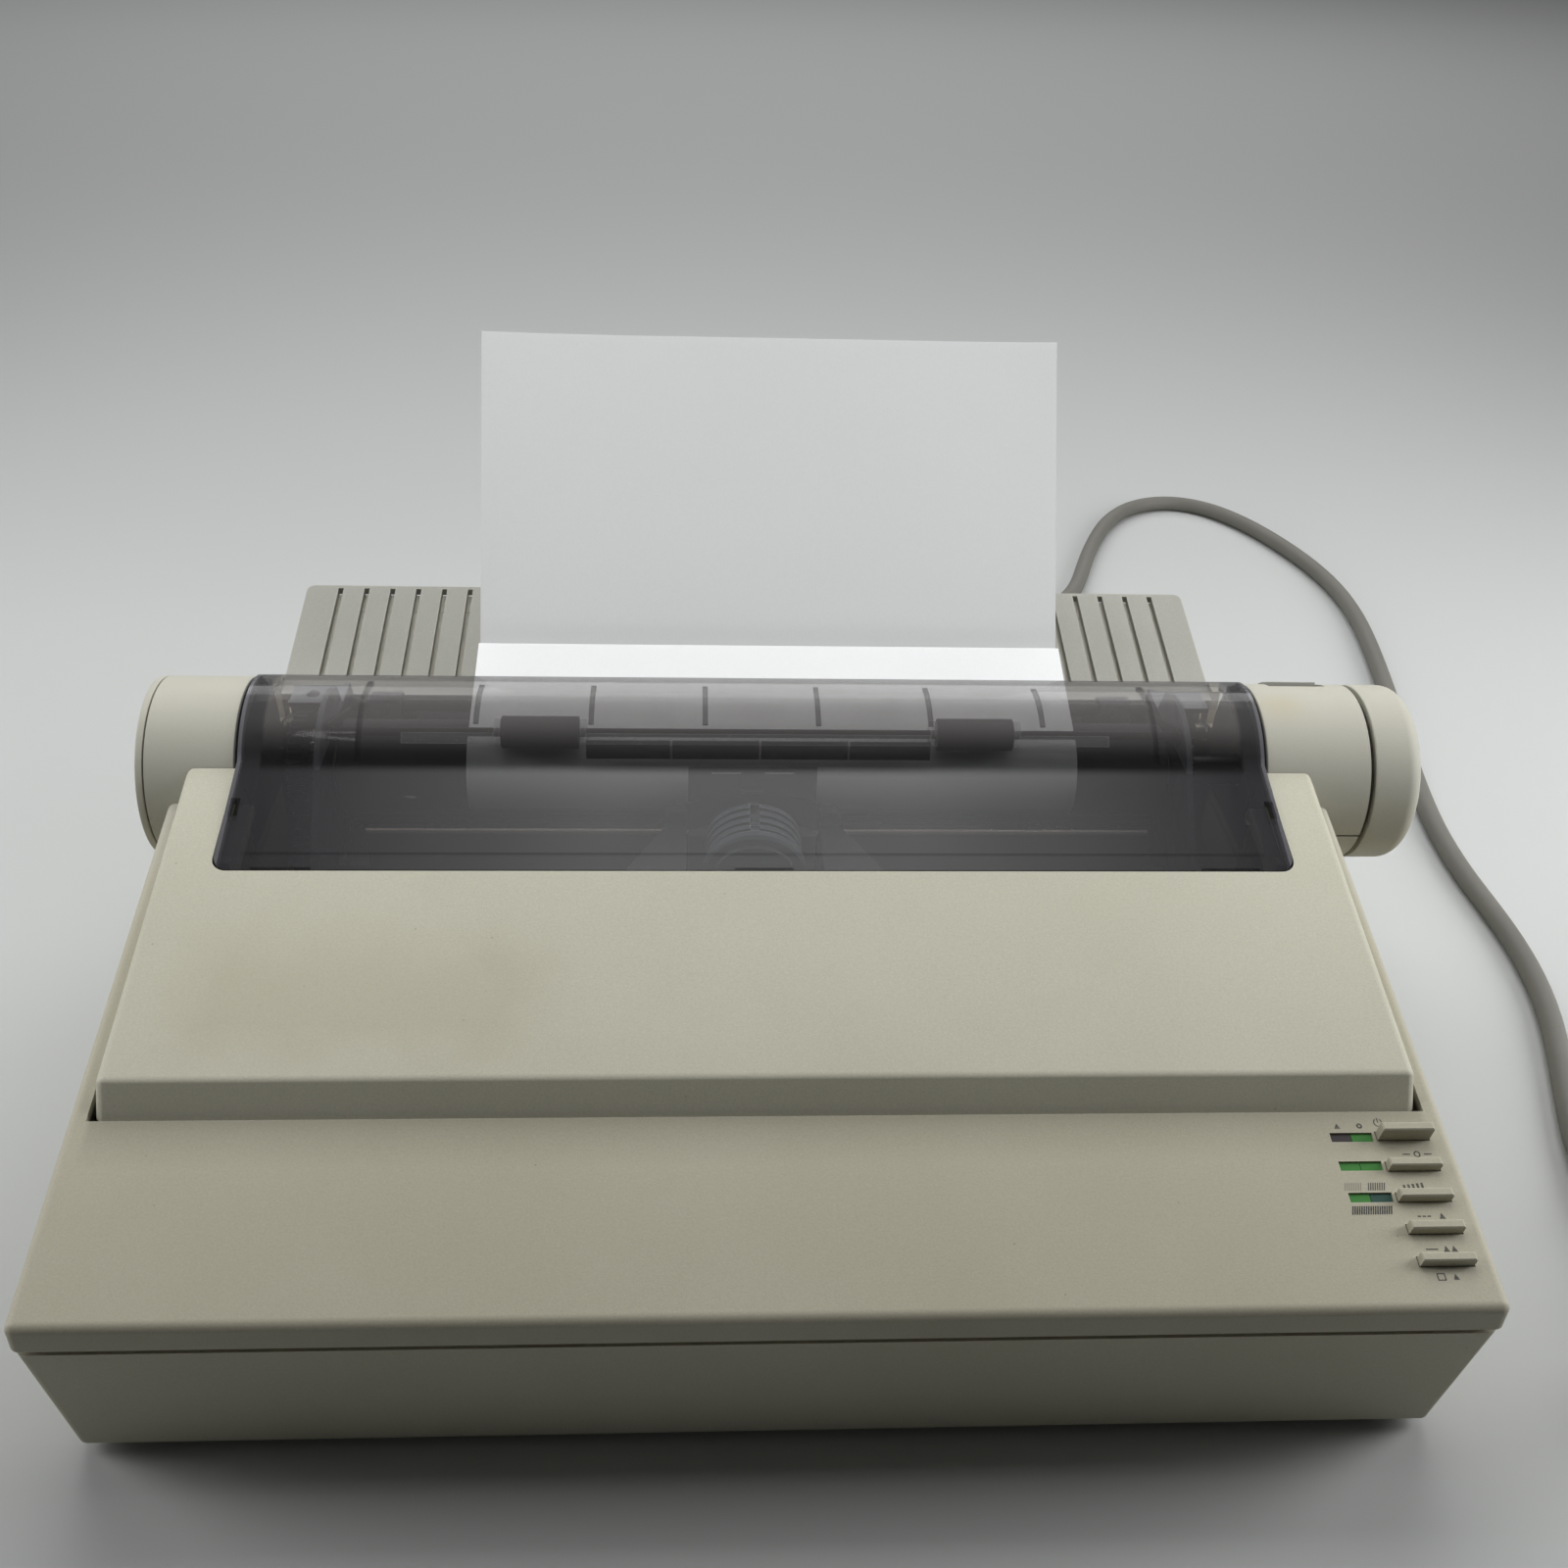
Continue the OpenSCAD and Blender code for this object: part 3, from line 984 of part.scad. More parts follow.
// A block about the middle of the data port, from its half width and half height
module port_box(w, h, y0, y1) box([port_x - w, y0, port_z - h], [port_x + w, y1, port_z + h]);
module data_port() color(steel) seat() difference() {
    union() {
        port_box(port_w / 2 - gap, port_h / 2 - gap, case_d - 14, case_d + 0.6);
        // A foot that stands on the floor of the case
        box([port_x - port_w / 2 + 8, case_d - 16, floor_z], [port_x + port_w / 2 - 8, case_d - 12,
            port_z]);
    }
    port_box(port_w / 2 - 6, 4.4, case_d - 7, case_d + 2);
}
inlet_deep = 16;
INLET_PINS = [[-7, -2], [0, 2], [7, -2]];
// A block about the middle of the mains inlet, from its half width and half height
module inlet_box(w, h, y0, y1, p = [0, 0])
    box([inlet_x + p[0] - w, y0, inlet_z + p[1] - h], [inlet_x + p[0] + w, y1, inlet_z + p[1] + h]);
module power_inlet() color(black) seat() {
    difference() {
        inlet_box(inlet_w / 2 - gap, inlet_h / 2 - gap, case_d - 24, case_d + 0.8);
        inlet_box(11.6, 7.8, case_d - inlet_deep, case_d + 2);
    }
    for (p = INLET_PINS) inlet_box(1, 2, case_d - inlet_deep - 1, case_d - 3, p);
    // A foot that stands on the floor of the case
    box([inlet_x - 8, case_d - 23, floor_z], [inlet_x + 8, case_d - 19, inlet_z - 6]);
}
module at_feet() for (sx = [-1, 1], y = [screw_y0, screw_y1]) translate([sx * screw_x, y, 0]) children();
module feet() color(black) seat() at_feet() difference() {
    cylinder(r = foot_r, h = foot_h + 0.6, $fn = 48);
    translate([0, 0, -1]) cylinder(r = 4, h = foot_h + 3, $fn = 32);
}
module case_screws() color("silver") seat() at_feet() {
    translate([0, 0, foot_h - 1.4]) cylinder(r = 3.2, h = 2, $fn = 32);
    translate([0, 0, foot_h]) cylinder(r = 1.5, h = 22, $fn = 24);
}

// The loaded sheet, from its leading strip round the platen and up at the back
module paper_sheet() color("white") seat() {
    h = sheet_t / 2;
    strip = polar(feed_r, strip_a) + strip_len * [sin(strip_a), -cos(strip_a)];
    lift = [-cos(strip_a), -sin(strip_a)];
    axis = [drum_y, drum_z];
    low_a = 270 + sheet_rise;
    along_x(sheet_mid - sheet_w / 2, sheet_mid + sheet_w / 2) polygon(concat([strip - h * lift],
        arc(axis, feed_r + h, strip_a, low_a, 30),
        [sheet_top + h * sheet_back, sheet_top - h * sheet_back], arc(axis, feed_r - h, low_a, strip_a,
            30), [strip + h * lift]));
}

// Mains lead: its points lie on the floor behind and beside the printer
cord_r = 4.25;
coil_r = 50;
coil_pitch = 9.1;
coil_x = 100;
coil_y = 452;
coil_low = 5.1;
coil_turns = 3;
coil_end = 8.5;
lead_y = 350;
LEAD = [[150, 350, 30], [150, 360, 30], [150, 374, 27.8], [150, 389, 21.7], [150, 405, 13.3], [150, 421,
    7.3],
    [150, 434, 5.1], [150, 443.5, 5.1]];
RUN = [[150, 460.5, 14.2], [150, 471, 14.1], [152.5, 483, 11.8], [159, 494.5, 8], [170, 504, 5], [182,
    514, 4.3],
    [191, 529, 4.3], [198, 548, 4.3], [207, 574, 4.3], [218, 600, 4.3], [231, 624, 4.3], [249, 642, 4.3],
    [272, 649.5, 4.3], [294, 642, 4.3], [311, 622, 4.3], [325, 594, 4.3], [336, 562, 4.3], [342, 528, 4.3],
    [341, 492, 4.3], [334, 446, 4.3], [325, 398, 4.3], [315, 350, 4.3], [307, 304, 4.3], [306, 264, 4.3],
    [310, 226, 4.3], [307, 186, 4.3], [296, 150, 4.3], [285, 118, 4.3], [281, 99, 5.2], [280, 84, 8.6],
    [280, 70, 11], [280, 58, 11]];
function coil_point(t) = let (r = coil_r - coil_pitch * min(t, coil_turns - t), up = max(0, min(1,
    (t - coil_turns / 2 + 0.25) / 0.5)))
    [coil_x + r * cos(360 * t), coil_y + r * sin(360 * t), coil_low + coil_pitch * up];
COIL = concat([[coil_x + coil_r, coil_y - coil_end, coil_low]], [for (i = [0:24 * coil_turns])
    coil_point(i / 24)],
    [[coil_x + coil_r, coil_y + coil_end, coil_low + coil_pitch]]);
module cord_lead() color("gray") seat() tube(LEAD, cord_r, 8);
module cord_run() color("gray") seat() tube(RUN, cord_r, 8);
module cord_coil() color("gray") seat() tube(COIL, cord_r, 6);
module cord_tie() color(black) seat() difference() {
    box([coil_x - coil_r - 1, coil_y - 3, 0.05], [coil_x - coil_r + coil_pitch * 1.5 + 5.2, coil_y + 3,
        coil_low + coil_pitch + cord_r + 1]);
    box([coil_x - coil_r - 0.3, coil_y - 4, 0.75], [coil_x - coil_r + coil_pitch * 1.5 + 4.5, coil_y + 4,
        coil_low + coil_pitch + cord_r + 0.3]);
}
// Moulded ends: a block with a ribbed, tapering sleeve
module cord_sleeve(r0, r1, h) rotate_extrude($fn = 36) polygon(concat([[0, 0], [r0, 0]],
    [for (i = [0:4]) let (z = h * (i + 1) / 6, r = r0 + (r1 - r0) * (i + 1) / 6) each [[r, z - 1],
        [r - 0.7, z - 0.8], [r - 0.7, z + 0.8], [r, z + 1]]],
    [[r1, h], [0, h]]));
module cord_connector() color("gray") seat() {
    y0 = case_d + 1.2;
    difference() {
        inlet_box(11, 7.2, case_d - inlet_deep + 1, y0 + 2);
        for (p = INLET_PINS) inlet_box(1.4, 2.4, case_d - inlet_deep, case_d - 1, p);
    }
    hull() {
        inlet_box(13, 9.5, y0, y0 + 12);
        inlet_box(9, 8, y0 + 12, y0 + 22);
    }
    translate([inlet_x, y0 + 21, inlet_z]) rotate([-90, 0, 0]) cord_sleeve(7, cord_r + 1, lead_y - y0 - 21);
}
module cord_plug() color("gray") seat() {
    end = RUN[len(RUN) - 1];
    translate(end) rotate([90, 0, 0]) {
        translate([0, 0, 30]) mirror([0, 0, 1]) cord_sleeve(8, cord_r + 1, 30);
        translate([0, 0, 29]) hull() {
            translate([-9, -8, 0]) cube([18, 16, 1]);
            translate([-12.5, -10.9, 10]) cube([25, 21.8, 16]);
        }
        for (sx = [-1, 1]) translate([sx * 6.3 - 0.8, -3.2 + 2, 54]) cube([1.6, 6.4, 18]);
        translate([0, -5, 54]) cylinder(r = 2.4, h = 20, $fn = 24);
    }
}
module cord_gap() {
    far = [for (i = [0:len(COIL) - 1]) for (j = [i + 13:1:len(COIL) - 1]) norm(COIL[i] - COIL[j])];
    echo(coil_gap = min(far) - 2 * cord_r);
}
cord_gap();

lower_case();
upper_case();
end_cap();
front_cover();
carrier_cover();
paper_rack();
base_plate();
frame_left();
frame_right();
paper_pan();
rear_guide();
guide_rail();
platen();
platen_shaft();
platen_gear();
platen_knob();
platen_bushes();
feed_idler();
feed_pinion();
feed_motor();
pinch_rollers();
tractor_left();
tractor_right();
tractor_shaft();
tractor_rod();
paper_bail();
bail_roller_left();
bail_roller_right();
bail_guide();
bail_springs();
release_lever();
carriage_rod();
carriage();
print_head();
ribbon_mask();
ribbon_cartridge();
drive_belt();
motor_pulley();
belt_pulley();
carriage_motor();
power_button();
select_button();
quality_button();
line_button();
form_button();
button_board();
status_lenses();
logic_board();
power_supply();
data_port();
power_inlet();
feet();
case_screws();
paper_sheet();
cord_connector();
cord_lead();
cord_coil();
cord_run();
cord_plug();
cord_tie();
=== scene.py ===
"""Dot matrix printer: finishes and soft edges, the loaded sheet, the mains lead, the marks and the studio."""
import json
import math
import bmesh
import bpy
from mathutils import Matrix, Vector


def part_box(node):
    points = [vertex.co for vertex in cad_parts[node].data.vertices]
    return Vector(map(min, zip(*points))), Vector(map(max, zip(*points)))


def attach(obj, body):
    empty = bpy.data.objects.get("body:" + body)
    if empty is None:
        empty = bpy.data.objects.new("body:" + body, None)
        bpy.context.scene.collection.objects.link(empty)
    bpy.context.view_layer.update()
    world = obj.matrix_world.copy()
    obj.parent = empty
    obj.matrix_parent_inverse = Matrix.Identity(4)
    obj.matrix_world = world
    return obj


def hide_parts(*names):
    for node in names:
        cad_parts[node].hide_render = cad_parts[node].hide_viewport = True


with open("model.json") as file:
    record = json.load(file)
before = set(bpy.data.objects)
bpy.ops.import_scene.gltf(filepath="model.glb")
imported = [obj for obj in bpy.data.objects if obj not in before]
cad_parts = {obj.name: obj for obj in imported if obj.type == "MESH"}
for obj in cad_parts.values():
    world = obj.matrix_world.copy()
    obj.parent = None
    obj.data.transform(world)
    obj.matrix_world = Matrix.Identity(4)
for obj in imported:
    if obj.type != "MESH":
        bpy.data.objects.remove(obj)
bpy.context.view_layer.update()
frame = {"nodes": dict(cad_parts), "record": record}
NODES = frame["nodes"]
MM = 0.001

# Places are written in millimetres from the middle of the case's front lip, as in the part's source
CASE_LOW, CASE_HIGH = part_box("lower_case")
LIP = Vector(((CASE_LOW[0] + CASE_HIGH[0]) / 2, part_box("upper_case")[0][1], 0))

# Middle of the drums: the smoked cover curves round it, and the platen turns on it
DRUM_Y, DRUM_Z = 207.4, 96.0

# The sloping tops of the case and of the front cover, each with the height of its front edge
LIP_Z = 63.0
TOP_SLOPE = math.radians(12.15)
LID_Y, LID_Z = 64.8, 84.4
LID_SLOPE = math.radians(13.6)


def at(x, y, z=0.0):
    """A place on the printer, in metres."""
    return LIP + Vector((x, y, z)) * MM


def on_top(x, y, up=0.0):
    """A place on the sloping top of the case, or up millimetres above it."""
    z = LIP_Z + y * math.tan(TOP_SLOPE)
    return at(x, y - up * math.sin(TOP_SLOPE), z + up * math.cos(TOP_SLOPE))


# Camera, fitted to the photograph's straight edges and round ends
IMAGE_PIXELS = 1600
FOCAL_PIXELS = 1618.69
SENSOR_W = 36
EYE = (-21.803, -259.993, 406.034)
PITCH, YAW, ROLL = math.radians(34.072), math.radians(3.887), math.radians(-2.418)


def make_camera():
    """Stands the camera where the photograph was taken from."""
    ahead = Vector((math.sin(YAW) * math.cos(PITCH), math.cos(YAW) * math.cos(PITCH), -math.sin(PITCH)))
    level = Vector((math.cos(YAW), -math.sin(YAW), 0))
    down = ahead.cross(level)
    right = level * math.cos(ROLL) + down * math.sin(ROLL)
    below = down * math.cos(ROLL) - level * math.sin(ROLL)
    lens = bpy.data.cameras.new("camera")
    lens.sensor_fit = "HORIZONTAL"
    lens.sensor_width = SENSOR_W
    lens.lens = SENSOR_W * FOCAL_PIXELS / IMAGE_PIXELS
    lens.clip_start = 0.02
    camera = bpy.data.objects.new("camera", lens)
    bpy.context.scene.collection.objects.link(camera)
    turn = Matrix((right, -below, -ahead)).transposed().to_4x4()
    camera.matrix_world = Matrix.Translation(at(*EYE)) @ turn
    bpy.context.scene.camera = camera


# Mains lead: its radius, and the same points as in the part's source, before the coil and after it
CORD_R = 4.25
LEAD = [(150, 350, 30), (150, 360, 30), (150, 374, 27.8), (150, 389, 21.7), (150, 405, 13.3),
        (150, 421, 7.3), (150, 434, 5.1), (150, 443.5, 5.1)]
RUN = [(150, 460.5, 14.2), (150, 471, 14.1), (152.5, 483, 11.8), (159, 494.5, 8), (170, 504, 5),
       (182, 514, 4.3), (191, 529, 4.3), (198, 548, 4.3), (207, 574, 4.3), (218, 600, 4.3),
       (231, 624, 4.3), (249, 642, 4.3), (272, 649.5, 4.3), (294, 642, 4.3), (311, 622, 4.3),
       (325, 594, 4.3), (336, 562, 4.3), (342, 528, 4.3), (341, 492, 4.3), (334, 446, 4.3),
       (325, 398, 4.3), (315, 350, 4.3), (307, 304, 4.3), (306, 264, 4.3), (310, 226, 4.3),
       (307, 186, 4.3), (296, 150, 4.3), (285, 118, 4.3), (281, 99, 5.2), (280, 84, 8.6),
       (280, 70, 11), (280, 58, 11)]

# The coil behind the printer: its middle, its lower layer's height, its outer radius and its turns' pitch
COIL_X, COIL_Y, COIL_LOW = 100, 452, 5.1
COIL_R = 50
COIL_PITCH = 9.1
COIL_TURNS = 3
CLIMB_TURNS = 0.5
STEPS_A_TURN = 24

# A curve's box is padded by its points' radius in metres, so that is small and the bevel makes up for it
POINT_SIZE = 0.004


def coil_point(turn):
    """A place on the coil, which spirals in, climbs a layer and spirals out again."""
    radius = COIL_R - COIL_PITCH * min(turn, COIL_TURNS - turn)
    climb = max(0, min(1, (turn - COIL_TURNS / 2) / CLIMB_TURNS + 0.5))
    angle = math.tau * turn
    return (COIL_X + radius * math.cos(angle), COIL_Y + radius * math.sin(angle),
            COIL_LOW + COIL_PITCH * climb)


def make_cord():
    """The whole mains lead as one curve, from its connector through the coil to its plug."""
    coil = [coil_point(step / STEPS_A_TURN) for step in range(STEPS_A_TURN * COIL_TURNS + 1)]
    route = LEAD + coil + RUN
    curve = bpy.data.curves.new("mains_lead", "CURVE")
    curve.dimensions = "3D"
    curve.bevel_depth = CORD_R * MM / POINT_SIZE
    curve.bevel_resolution = 5
    curve.resolution_u = 5
    curve.use_fill_caps = True
    spline = curve.splines.new("NURBS")
    spline.points.add(len(route) - 1)
    for point, place in zip(spline.points, route):
        point.co = (*at(*place), 1)
        point.radius = POINT_SIZE
    spline.order_u = 4
    spline.use_endpoint_u = True
    lead = bpy.data.objects.new("mains_lead", curve)
    bpy.context.scene.collection.objects.link(lead)
    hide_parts("cord_lead", "cord_coil", "cord_run")
    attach(lead, "case")
    cord_length(curve, lead)
    return lead


def cord_length(curve, lead):
    """Measures the lead without its thickness."""
    curve.bevel_depth = 0
    path = lead.evaluated_get(bpy.context.evaluated_depsgraph_get()).to_mesh()
    places = [vertex.co.copy() for vertex in path.vertices]
    curve.bevel_depth = CORD_R * MM / POINT_SIZE
    return sum((b - a).length for a, b in zip(places, places[1:]))


make_camera()
mains_lead = make_cord()


# Finishes: each function gives one material, and places in it are in millimetres from the lip


def colour(code):
    """A colour as it looks on the screen, such as "#bebdab", as Blender's linear numbers."""
    parts = [int(code[i:i + 2], 16) / 255 for i in (1, 3, 5)]
    return (*[p / 12.92 if p <= 0.04045 else ((p + 0.055) / 1.055) ** 2.4 for p in parts], 1)


class Tone:
    """A value that changes over a surface, for plain arithmetic."""

    def __init__(self, paint, socket):
        self.paint = paint
        self.socket = socket

    def maths(self, operation, *values):
        return self.paint.node("ShaderNodeMath", {"operation": operation}, dict(enumerate(values)))

    def __add__(self, other):
        return self.maths("ADD", self, other)

    def __radd__(self, other):
        return self.maths("ADD", other, self)

    def __sub__(self, other):
        return self.maths("SUBTRACT", self, other)

    def __rsub__(self, other):
        return self.maths("SUBTRACT", other, self)

    def __mul__(self, other):
        return self.maths("MULTIPLY", self, other)

    def __rmul__(self, other):
        return self.maths("MULTIPLY", other, self)

    def __pow__(self, other):
        return self.maths("POWER", self, other)


class Paint:
    """One finish, built from nodes round a Principled BSDF."""

    def __init__(self, name, **fixed):
        self.material = bpy.data.materials.new(name)
        self.material.use_nodes = True
        self.tree = self.material.node_tree
        self.tree.nodes.clear()
        self.surface = self.tree.nodes.new("ShaderNodeBsdfPrincipled")
        output = self.tree.nodes.new("ShaderNodeOutputMaterial")
        self.tree.links.new(self.surface.outputs[0], output.inputs[0])
        self.height = None
        for socket, value in fixed.items():
            self.surface.inputs[socket.replace("_", " ")].default_value = value

    def node(self, kind, settings=None, inputs=None, output=0):
        """Adds a node: first its settings, then the values or links of its sockets."""
        made = self.tree.nodes.new(kind)
        for name, value in (settings or {}).items():
            setattr(made, name, value)
        for socket, value in (inputs or {}).items():
            self.feed(made.inputs[socket], value)
        return Tone(self, made.outputs[output])

    def feed(self, socket, value):
        if isinstance(value, Tone):
            self.tree.links.new(value.socket, socket)
        else:
            socket.default_value = value

    def set(self, **values):
        """Feeds the surface's own sockets, whose names are written with _ for a space."""
        for socket, value in values.items():
            self.feed(self.surface.inputs[socket.replace("_", " ")], value)

    def place(self):
        return self.node("ShaderNodeTexCoord", output="Object")

    def axis(self, letter):
        """A point's place along an axis, in metres."""
        return self.node("ShaderNodeSeparateXYZ", None, {0: self.place()}, "XYZ".index(letter))

    def noise(self, scale, detail=2.0, roughness=0.5, stretch=None, distortion=0.0):
        """Cloudy variation from 0 to 1; scale is in waves per metre."""
        where = self.place()
        if stretch:
            where = self.node("ShaderNodeMapping", None, {0: where, "Scale": stretch})
        return self.node("ShaderNodeTexNoise", None, {
            "Vector": where, "Scale": scale, "Detail": detail, "Roughness": roughness,
            "Distortion": distortion})

    def cells(self, scale, feature="F1", output=0):
        return self.node("ShaderNodeTexVoronoi", {"feature": feature},
                         {"Vector": self.place(), "Scale": scale}, output)

    def between(self, value, low, high, to_low=0.0, to_high=1.0):
        """Takes low to to_low and high to to_high, and holds the ends."""
        return self.node("ShaderNodeMapRange", None, {0: value, 1: low, 2: high, 3: to_low, 4: to_high})

    def mix(self, share, first, second):
        """Blends two colours, which are sockets 6 and 7 and output 2 of Blender's node."""
        return self.node("ShaderNodeMix", {"data_type": "RGBA"}, {0: share, 6: first, 7: second}, 2)

    def past(self, letter, low, high, to_low=0.0, to_high=1.0):
        """Changes from to_low to to_high between two places along an axis."""
        start = LIP["XYZ".index(letter)]
        return self.between(self.axis(letter), start + low * MM, start + high * MM, to_low, to_high)

    def plateau(self, value, start, full, fade, end):
        """Rises from 0 at start to 1 at full, and falls from 1 at fade to 0 at end."""
        return self.between(value, start, full) * self.between(value, fade, end, 1.0, 0.0)

    def window(self, letter, low, high, soft):
        """1 between two places along an axis and 0 outside, with borders twice soft wide."""
        start = LIP["XYZ".index(letter)]
        edges = (low - soft, low + soft, high - soft, high + soft)
        return self.plateau(self.axis(letter), *[start + edge * MM for edge in edges])

    def zone(self, **spans):
        """1 inside a box: each axis has a window of its own."""
        windows = [self.window(letter, *span) for letter, span in spans.items()]
        return math.prod(windows[1:], start=windows[0])

    def specks(self, scale, size, share):
        """Small round dots: size is their radius as a share of a cell, share how many cells have one."""
        near = self.between(self.cells(scale), size, size * 0.6)
        pick = self.node("ShaderNodeSeparateColor", None, {0: self.cells(scale, output=1)})
        return near * self.between(pick, 1 - share, 1 - share + 0.01)

    def edges(self, radius=0.8, low=0.02, high=0.16):
        """1 at the outer edges, which hands rub; the clear strip takes a painted highlight there."""
        normal = self.node("ShaderNodeBevel", {"samples": 4}, {"Radius": radius * MM})
        flat = self.node("ShaderNodeNewGeometry", output="Normal")
        along = self.node("ShaderNodeVectorMath", {"operation": "DOT_PRODUCT"}, {0: normal, 1: flat}, 1)
        return self.between(1 - along, low, high)

    def painted_crevice_shade(self, distance=4.0, low=0.35, high=0.85):
        """1 in corners and grooves, where finishes darken their colour with it as painted shade."""
        open_air = self.node("ShaderNodeAmbientOcclusion", {"samples": 4, "only_local": True},
                             {"Distance": distance * MM}, 1)
        return self.between(open_air, low, high, 1.0, 0.0)

    def bump(self, height, depth, strength=1.0):
        """Adds a relief of depth millimetres to the surface."""
        below = {"Normal": self.height} if self.height else {}
        self.height = self.node("ShaderNodeBump", None, {
            "Height": height, "Distance": depth * MM, "Strength": strength, **below})
        self.set(Normal=self.height)


def moulded(name, tint, aged, grain=0.05, rough=0.55):
    """Spark-eroded office plastic that has yellowed with age."""
    paint = Paint(name)
    cloud = paint.noise(9, 3, 0.6)
    fine = paint.noise(1500, 2, 0.6)
    shade = paint.mix(paint.between(cloud, 0.35, 0.75) * 0.6, colour(tint), colour(aged))
    shade = paint.mix(paint.between(fine, 0.3, 0.7) * 0.16, shade, colour("#6f6b5b"))
    shade = paint.mix(paint.specks(170, 0.06, 0.12) * 0.45, shade, colour("#5b5444"))
    shade = paint.mix(paint.edges() * 0.22, shade, colour("#e2dfd0"))
    # Painted shade: darker in corners and grooves.
    shade = paint.mix(paint.painted_crevice_shade() * 0.3, shade, colour("#6b6452"))
    paint.shade = shade
    paint.set(Base_Color=shade, Roughness=rough + 0.14 * paint.noise(60, 3))
    paint.bump(paint.noise(2200, 2, 0.7), grain)
    paint.bump(paint.noise(35, 2), 0.03, 0.5)
    return paint


def case_plastic():
    """The case: greyer drums, a stain on the right drum, and painted shade in the bay and before the cover's
    seam.
    """
    paint = moulded("case_plastic", "#b4b09e", "#a9a48f")
    drums = paint.past("Z", 88, 106)
    # The bay, from its floor up, is painted near black as shade.
    bay = paint.zone(X=(-173.1, 173.1, 0.2), Y=(130, 243, 0.5)) * paint.past("Z", 74, 76)
    stain = paint.zone(X=(173, 189, 5), Y=(196, 207, 4), Z=(118, 132, 3)) * paint.noise(90, 2)
    # The slope just before the cover's front edge carries a painted shadow.
    seam = paint.zone(X=(-189, 189, 1), Z=(70, 79.5, 1)) * paint.past("Y", 44, 63)
    shade = paint.mix(drums * 0.8, paint.shade, colour("#b6b5aa"))
    shade = paint.mix(bay * 0.9, shade, colour("#1f1f21"))
    shade = paint.mix(stain * 0.3, shade, colour("#b49a55"))
    shade = paint.mix(seam * 0.35, shade, colour("#4f4b3e"))
    paint.set(Base_Color=shade)
    return paint.material


def cover_plastic():
    """The front cover: browned in a ragged patch at its left, and painted dark as shade where its edge sinks
    to the bay.
    """
    paint = moulded("cover_plastic", "#c1bfae", "#b7b4a1", 0.05, 0.5)
    ragged = (paint.noise(45, 4, 0.6) - 0.5) * (26 * MM)
    across = paint.plateau(paint.axis("X") + ragged, *[LIP.x + edge * MM for edge in (-178, -160, -78, -60)])
    along = paint.plateau(paint.axis("Y") + ragged, *[LIP.y + edge * MM for edge in (68, 84, 100, 124)])
    shade = paint.mix(across * along * 0.3, paint.shade, colour("#a69a80"))
    # Below its top face round the window, the cover is painted near black as shade.
    top = LID_Z * MM + (paint.axis("Y") - (LIP.y + LID_Y * MM)) * math.tan(LID_SLOPE)
    sunk_shade = paint.between(top - paint.axis("Z"), 0.8 * MM, 1.1 * MM)
    rim = sunk_shade * paint.zone(X=(-175, 175, 0.2), Y=(137, 250, 0.2))
    shade = paint.mix(rim * 0.9, shade, colour("#1f1f21"))
    paint.set(Base_Color=shade)
    return paint.material


def rack_plastic():
    """Rack and lever: the same plastic, less yellowed."""
    return moulded("rack_plastic", "#a1a199", "#96968e").material


def smoked_plastic():
    """Clear dark plastic, a little milky with age, with dark ribs, fine scratches and dust; painted shade
    darkens its low front and its flap's ends, its rear is painted dark as it looks seen edge-on, and its end
    rims carry a painted highlight.
    """
    paint = Paint("smoked_plastic")
    scratch = paint.between(paint.noise(1500, 2, 0.5, (0.12, 0.7, 1), 0.4), 0.72, 0.8)
    dust = paint.specks(800, 0.14, 0.2)
    haze = paint.noise(26, 4)
    # The flap is painted lighter in the middle and dark at its ends, as shade.
    middle = paint.window("X", -105, 105, 55)
    border = 1 - paint.window("X", -164, 164, 0.3)
    # The end rims are painted light as a highlight.
    rim = 1 - paint.window("X", -170.2, 170.2, 0.2)
    # The rear of the arc is painted dark, as it looks seen edge-on.
    rear = paint.past("Y", DRUM_Y + 8.5, DRUM_Y + 12)
    # The low front of the arc is painted near black as shade.
    low = paint.past("Y", DRUM_Y - 24, DRUM_Y - 15, 1.0, 0.0)
    flap = paint.past("Y", DRUM_Y - 30, DRUM_Y - 27, 1.0, 0.0)
    back = paint.axis("Y") - (LIP.y + DRUM_Y * MM)
    up = paint.axis("Z") - DRUM_Z * MM
    radius = (back ** 2 + up ** 2) ** 0.5
    rib = paint.between(radius, 29.8 * MM, 29.95 * MM, 1.0, 0.0) * (1 - border)
    shade = paint.mix(low, colour("#747170"), colour("#131315"))
    shade = paint.mix(flap, shade, paint.mix(middle, colour("#454548"), colour("#888888")))
    shade = paint.mix(dust * 0.5 + scratch * 0.3, shade, colour("#a8a8a4"))
    shade = paint.mix(border * 0.7, shade, colour("#333336"))
    shade = paint.mix(rim * 0.7, shade, colour("#77777c"))
    shade = paint.mix(rib + rear * 0.5, shade, colour("#111113"))
    clear = 0.34 + 0.08 * haze - 0.1 * flap + 0.1 * dust + 0.05 * scratch
    paint.set(Base_Color=shade, Roughness=0.05 + 0.08 * haze + 0.2 * scratch,
              Alpha=clear + 0.16 * border + 0.25 * rim + 0.4 * rib + 0.25 * rear)
    paint.bump(haze, 0.01)
    return paint.material


def black_rubber():
    """Platen, rollers, belt and feet, a little grey with paper dust."""
    paint = Paint("black_rubber", Specular_IOR_Level=0.3)
    dust = paint.noise(180, 4, 0.65)
    shade = paint.mix(paint.between(dust, 0.5, 0.8) * 0.3, colour("#313134"), colour("#55534f"))
    shade = paint.mix(paint.edges(0.5) * 0.3, shade, colour("#5f5e5b"))
    paint.set(Base_Color=shade, Roughness=0.62 + 0.2 * dust)
    paint.bump(paint.noise(900, 2), 0.002)
    return paint.material


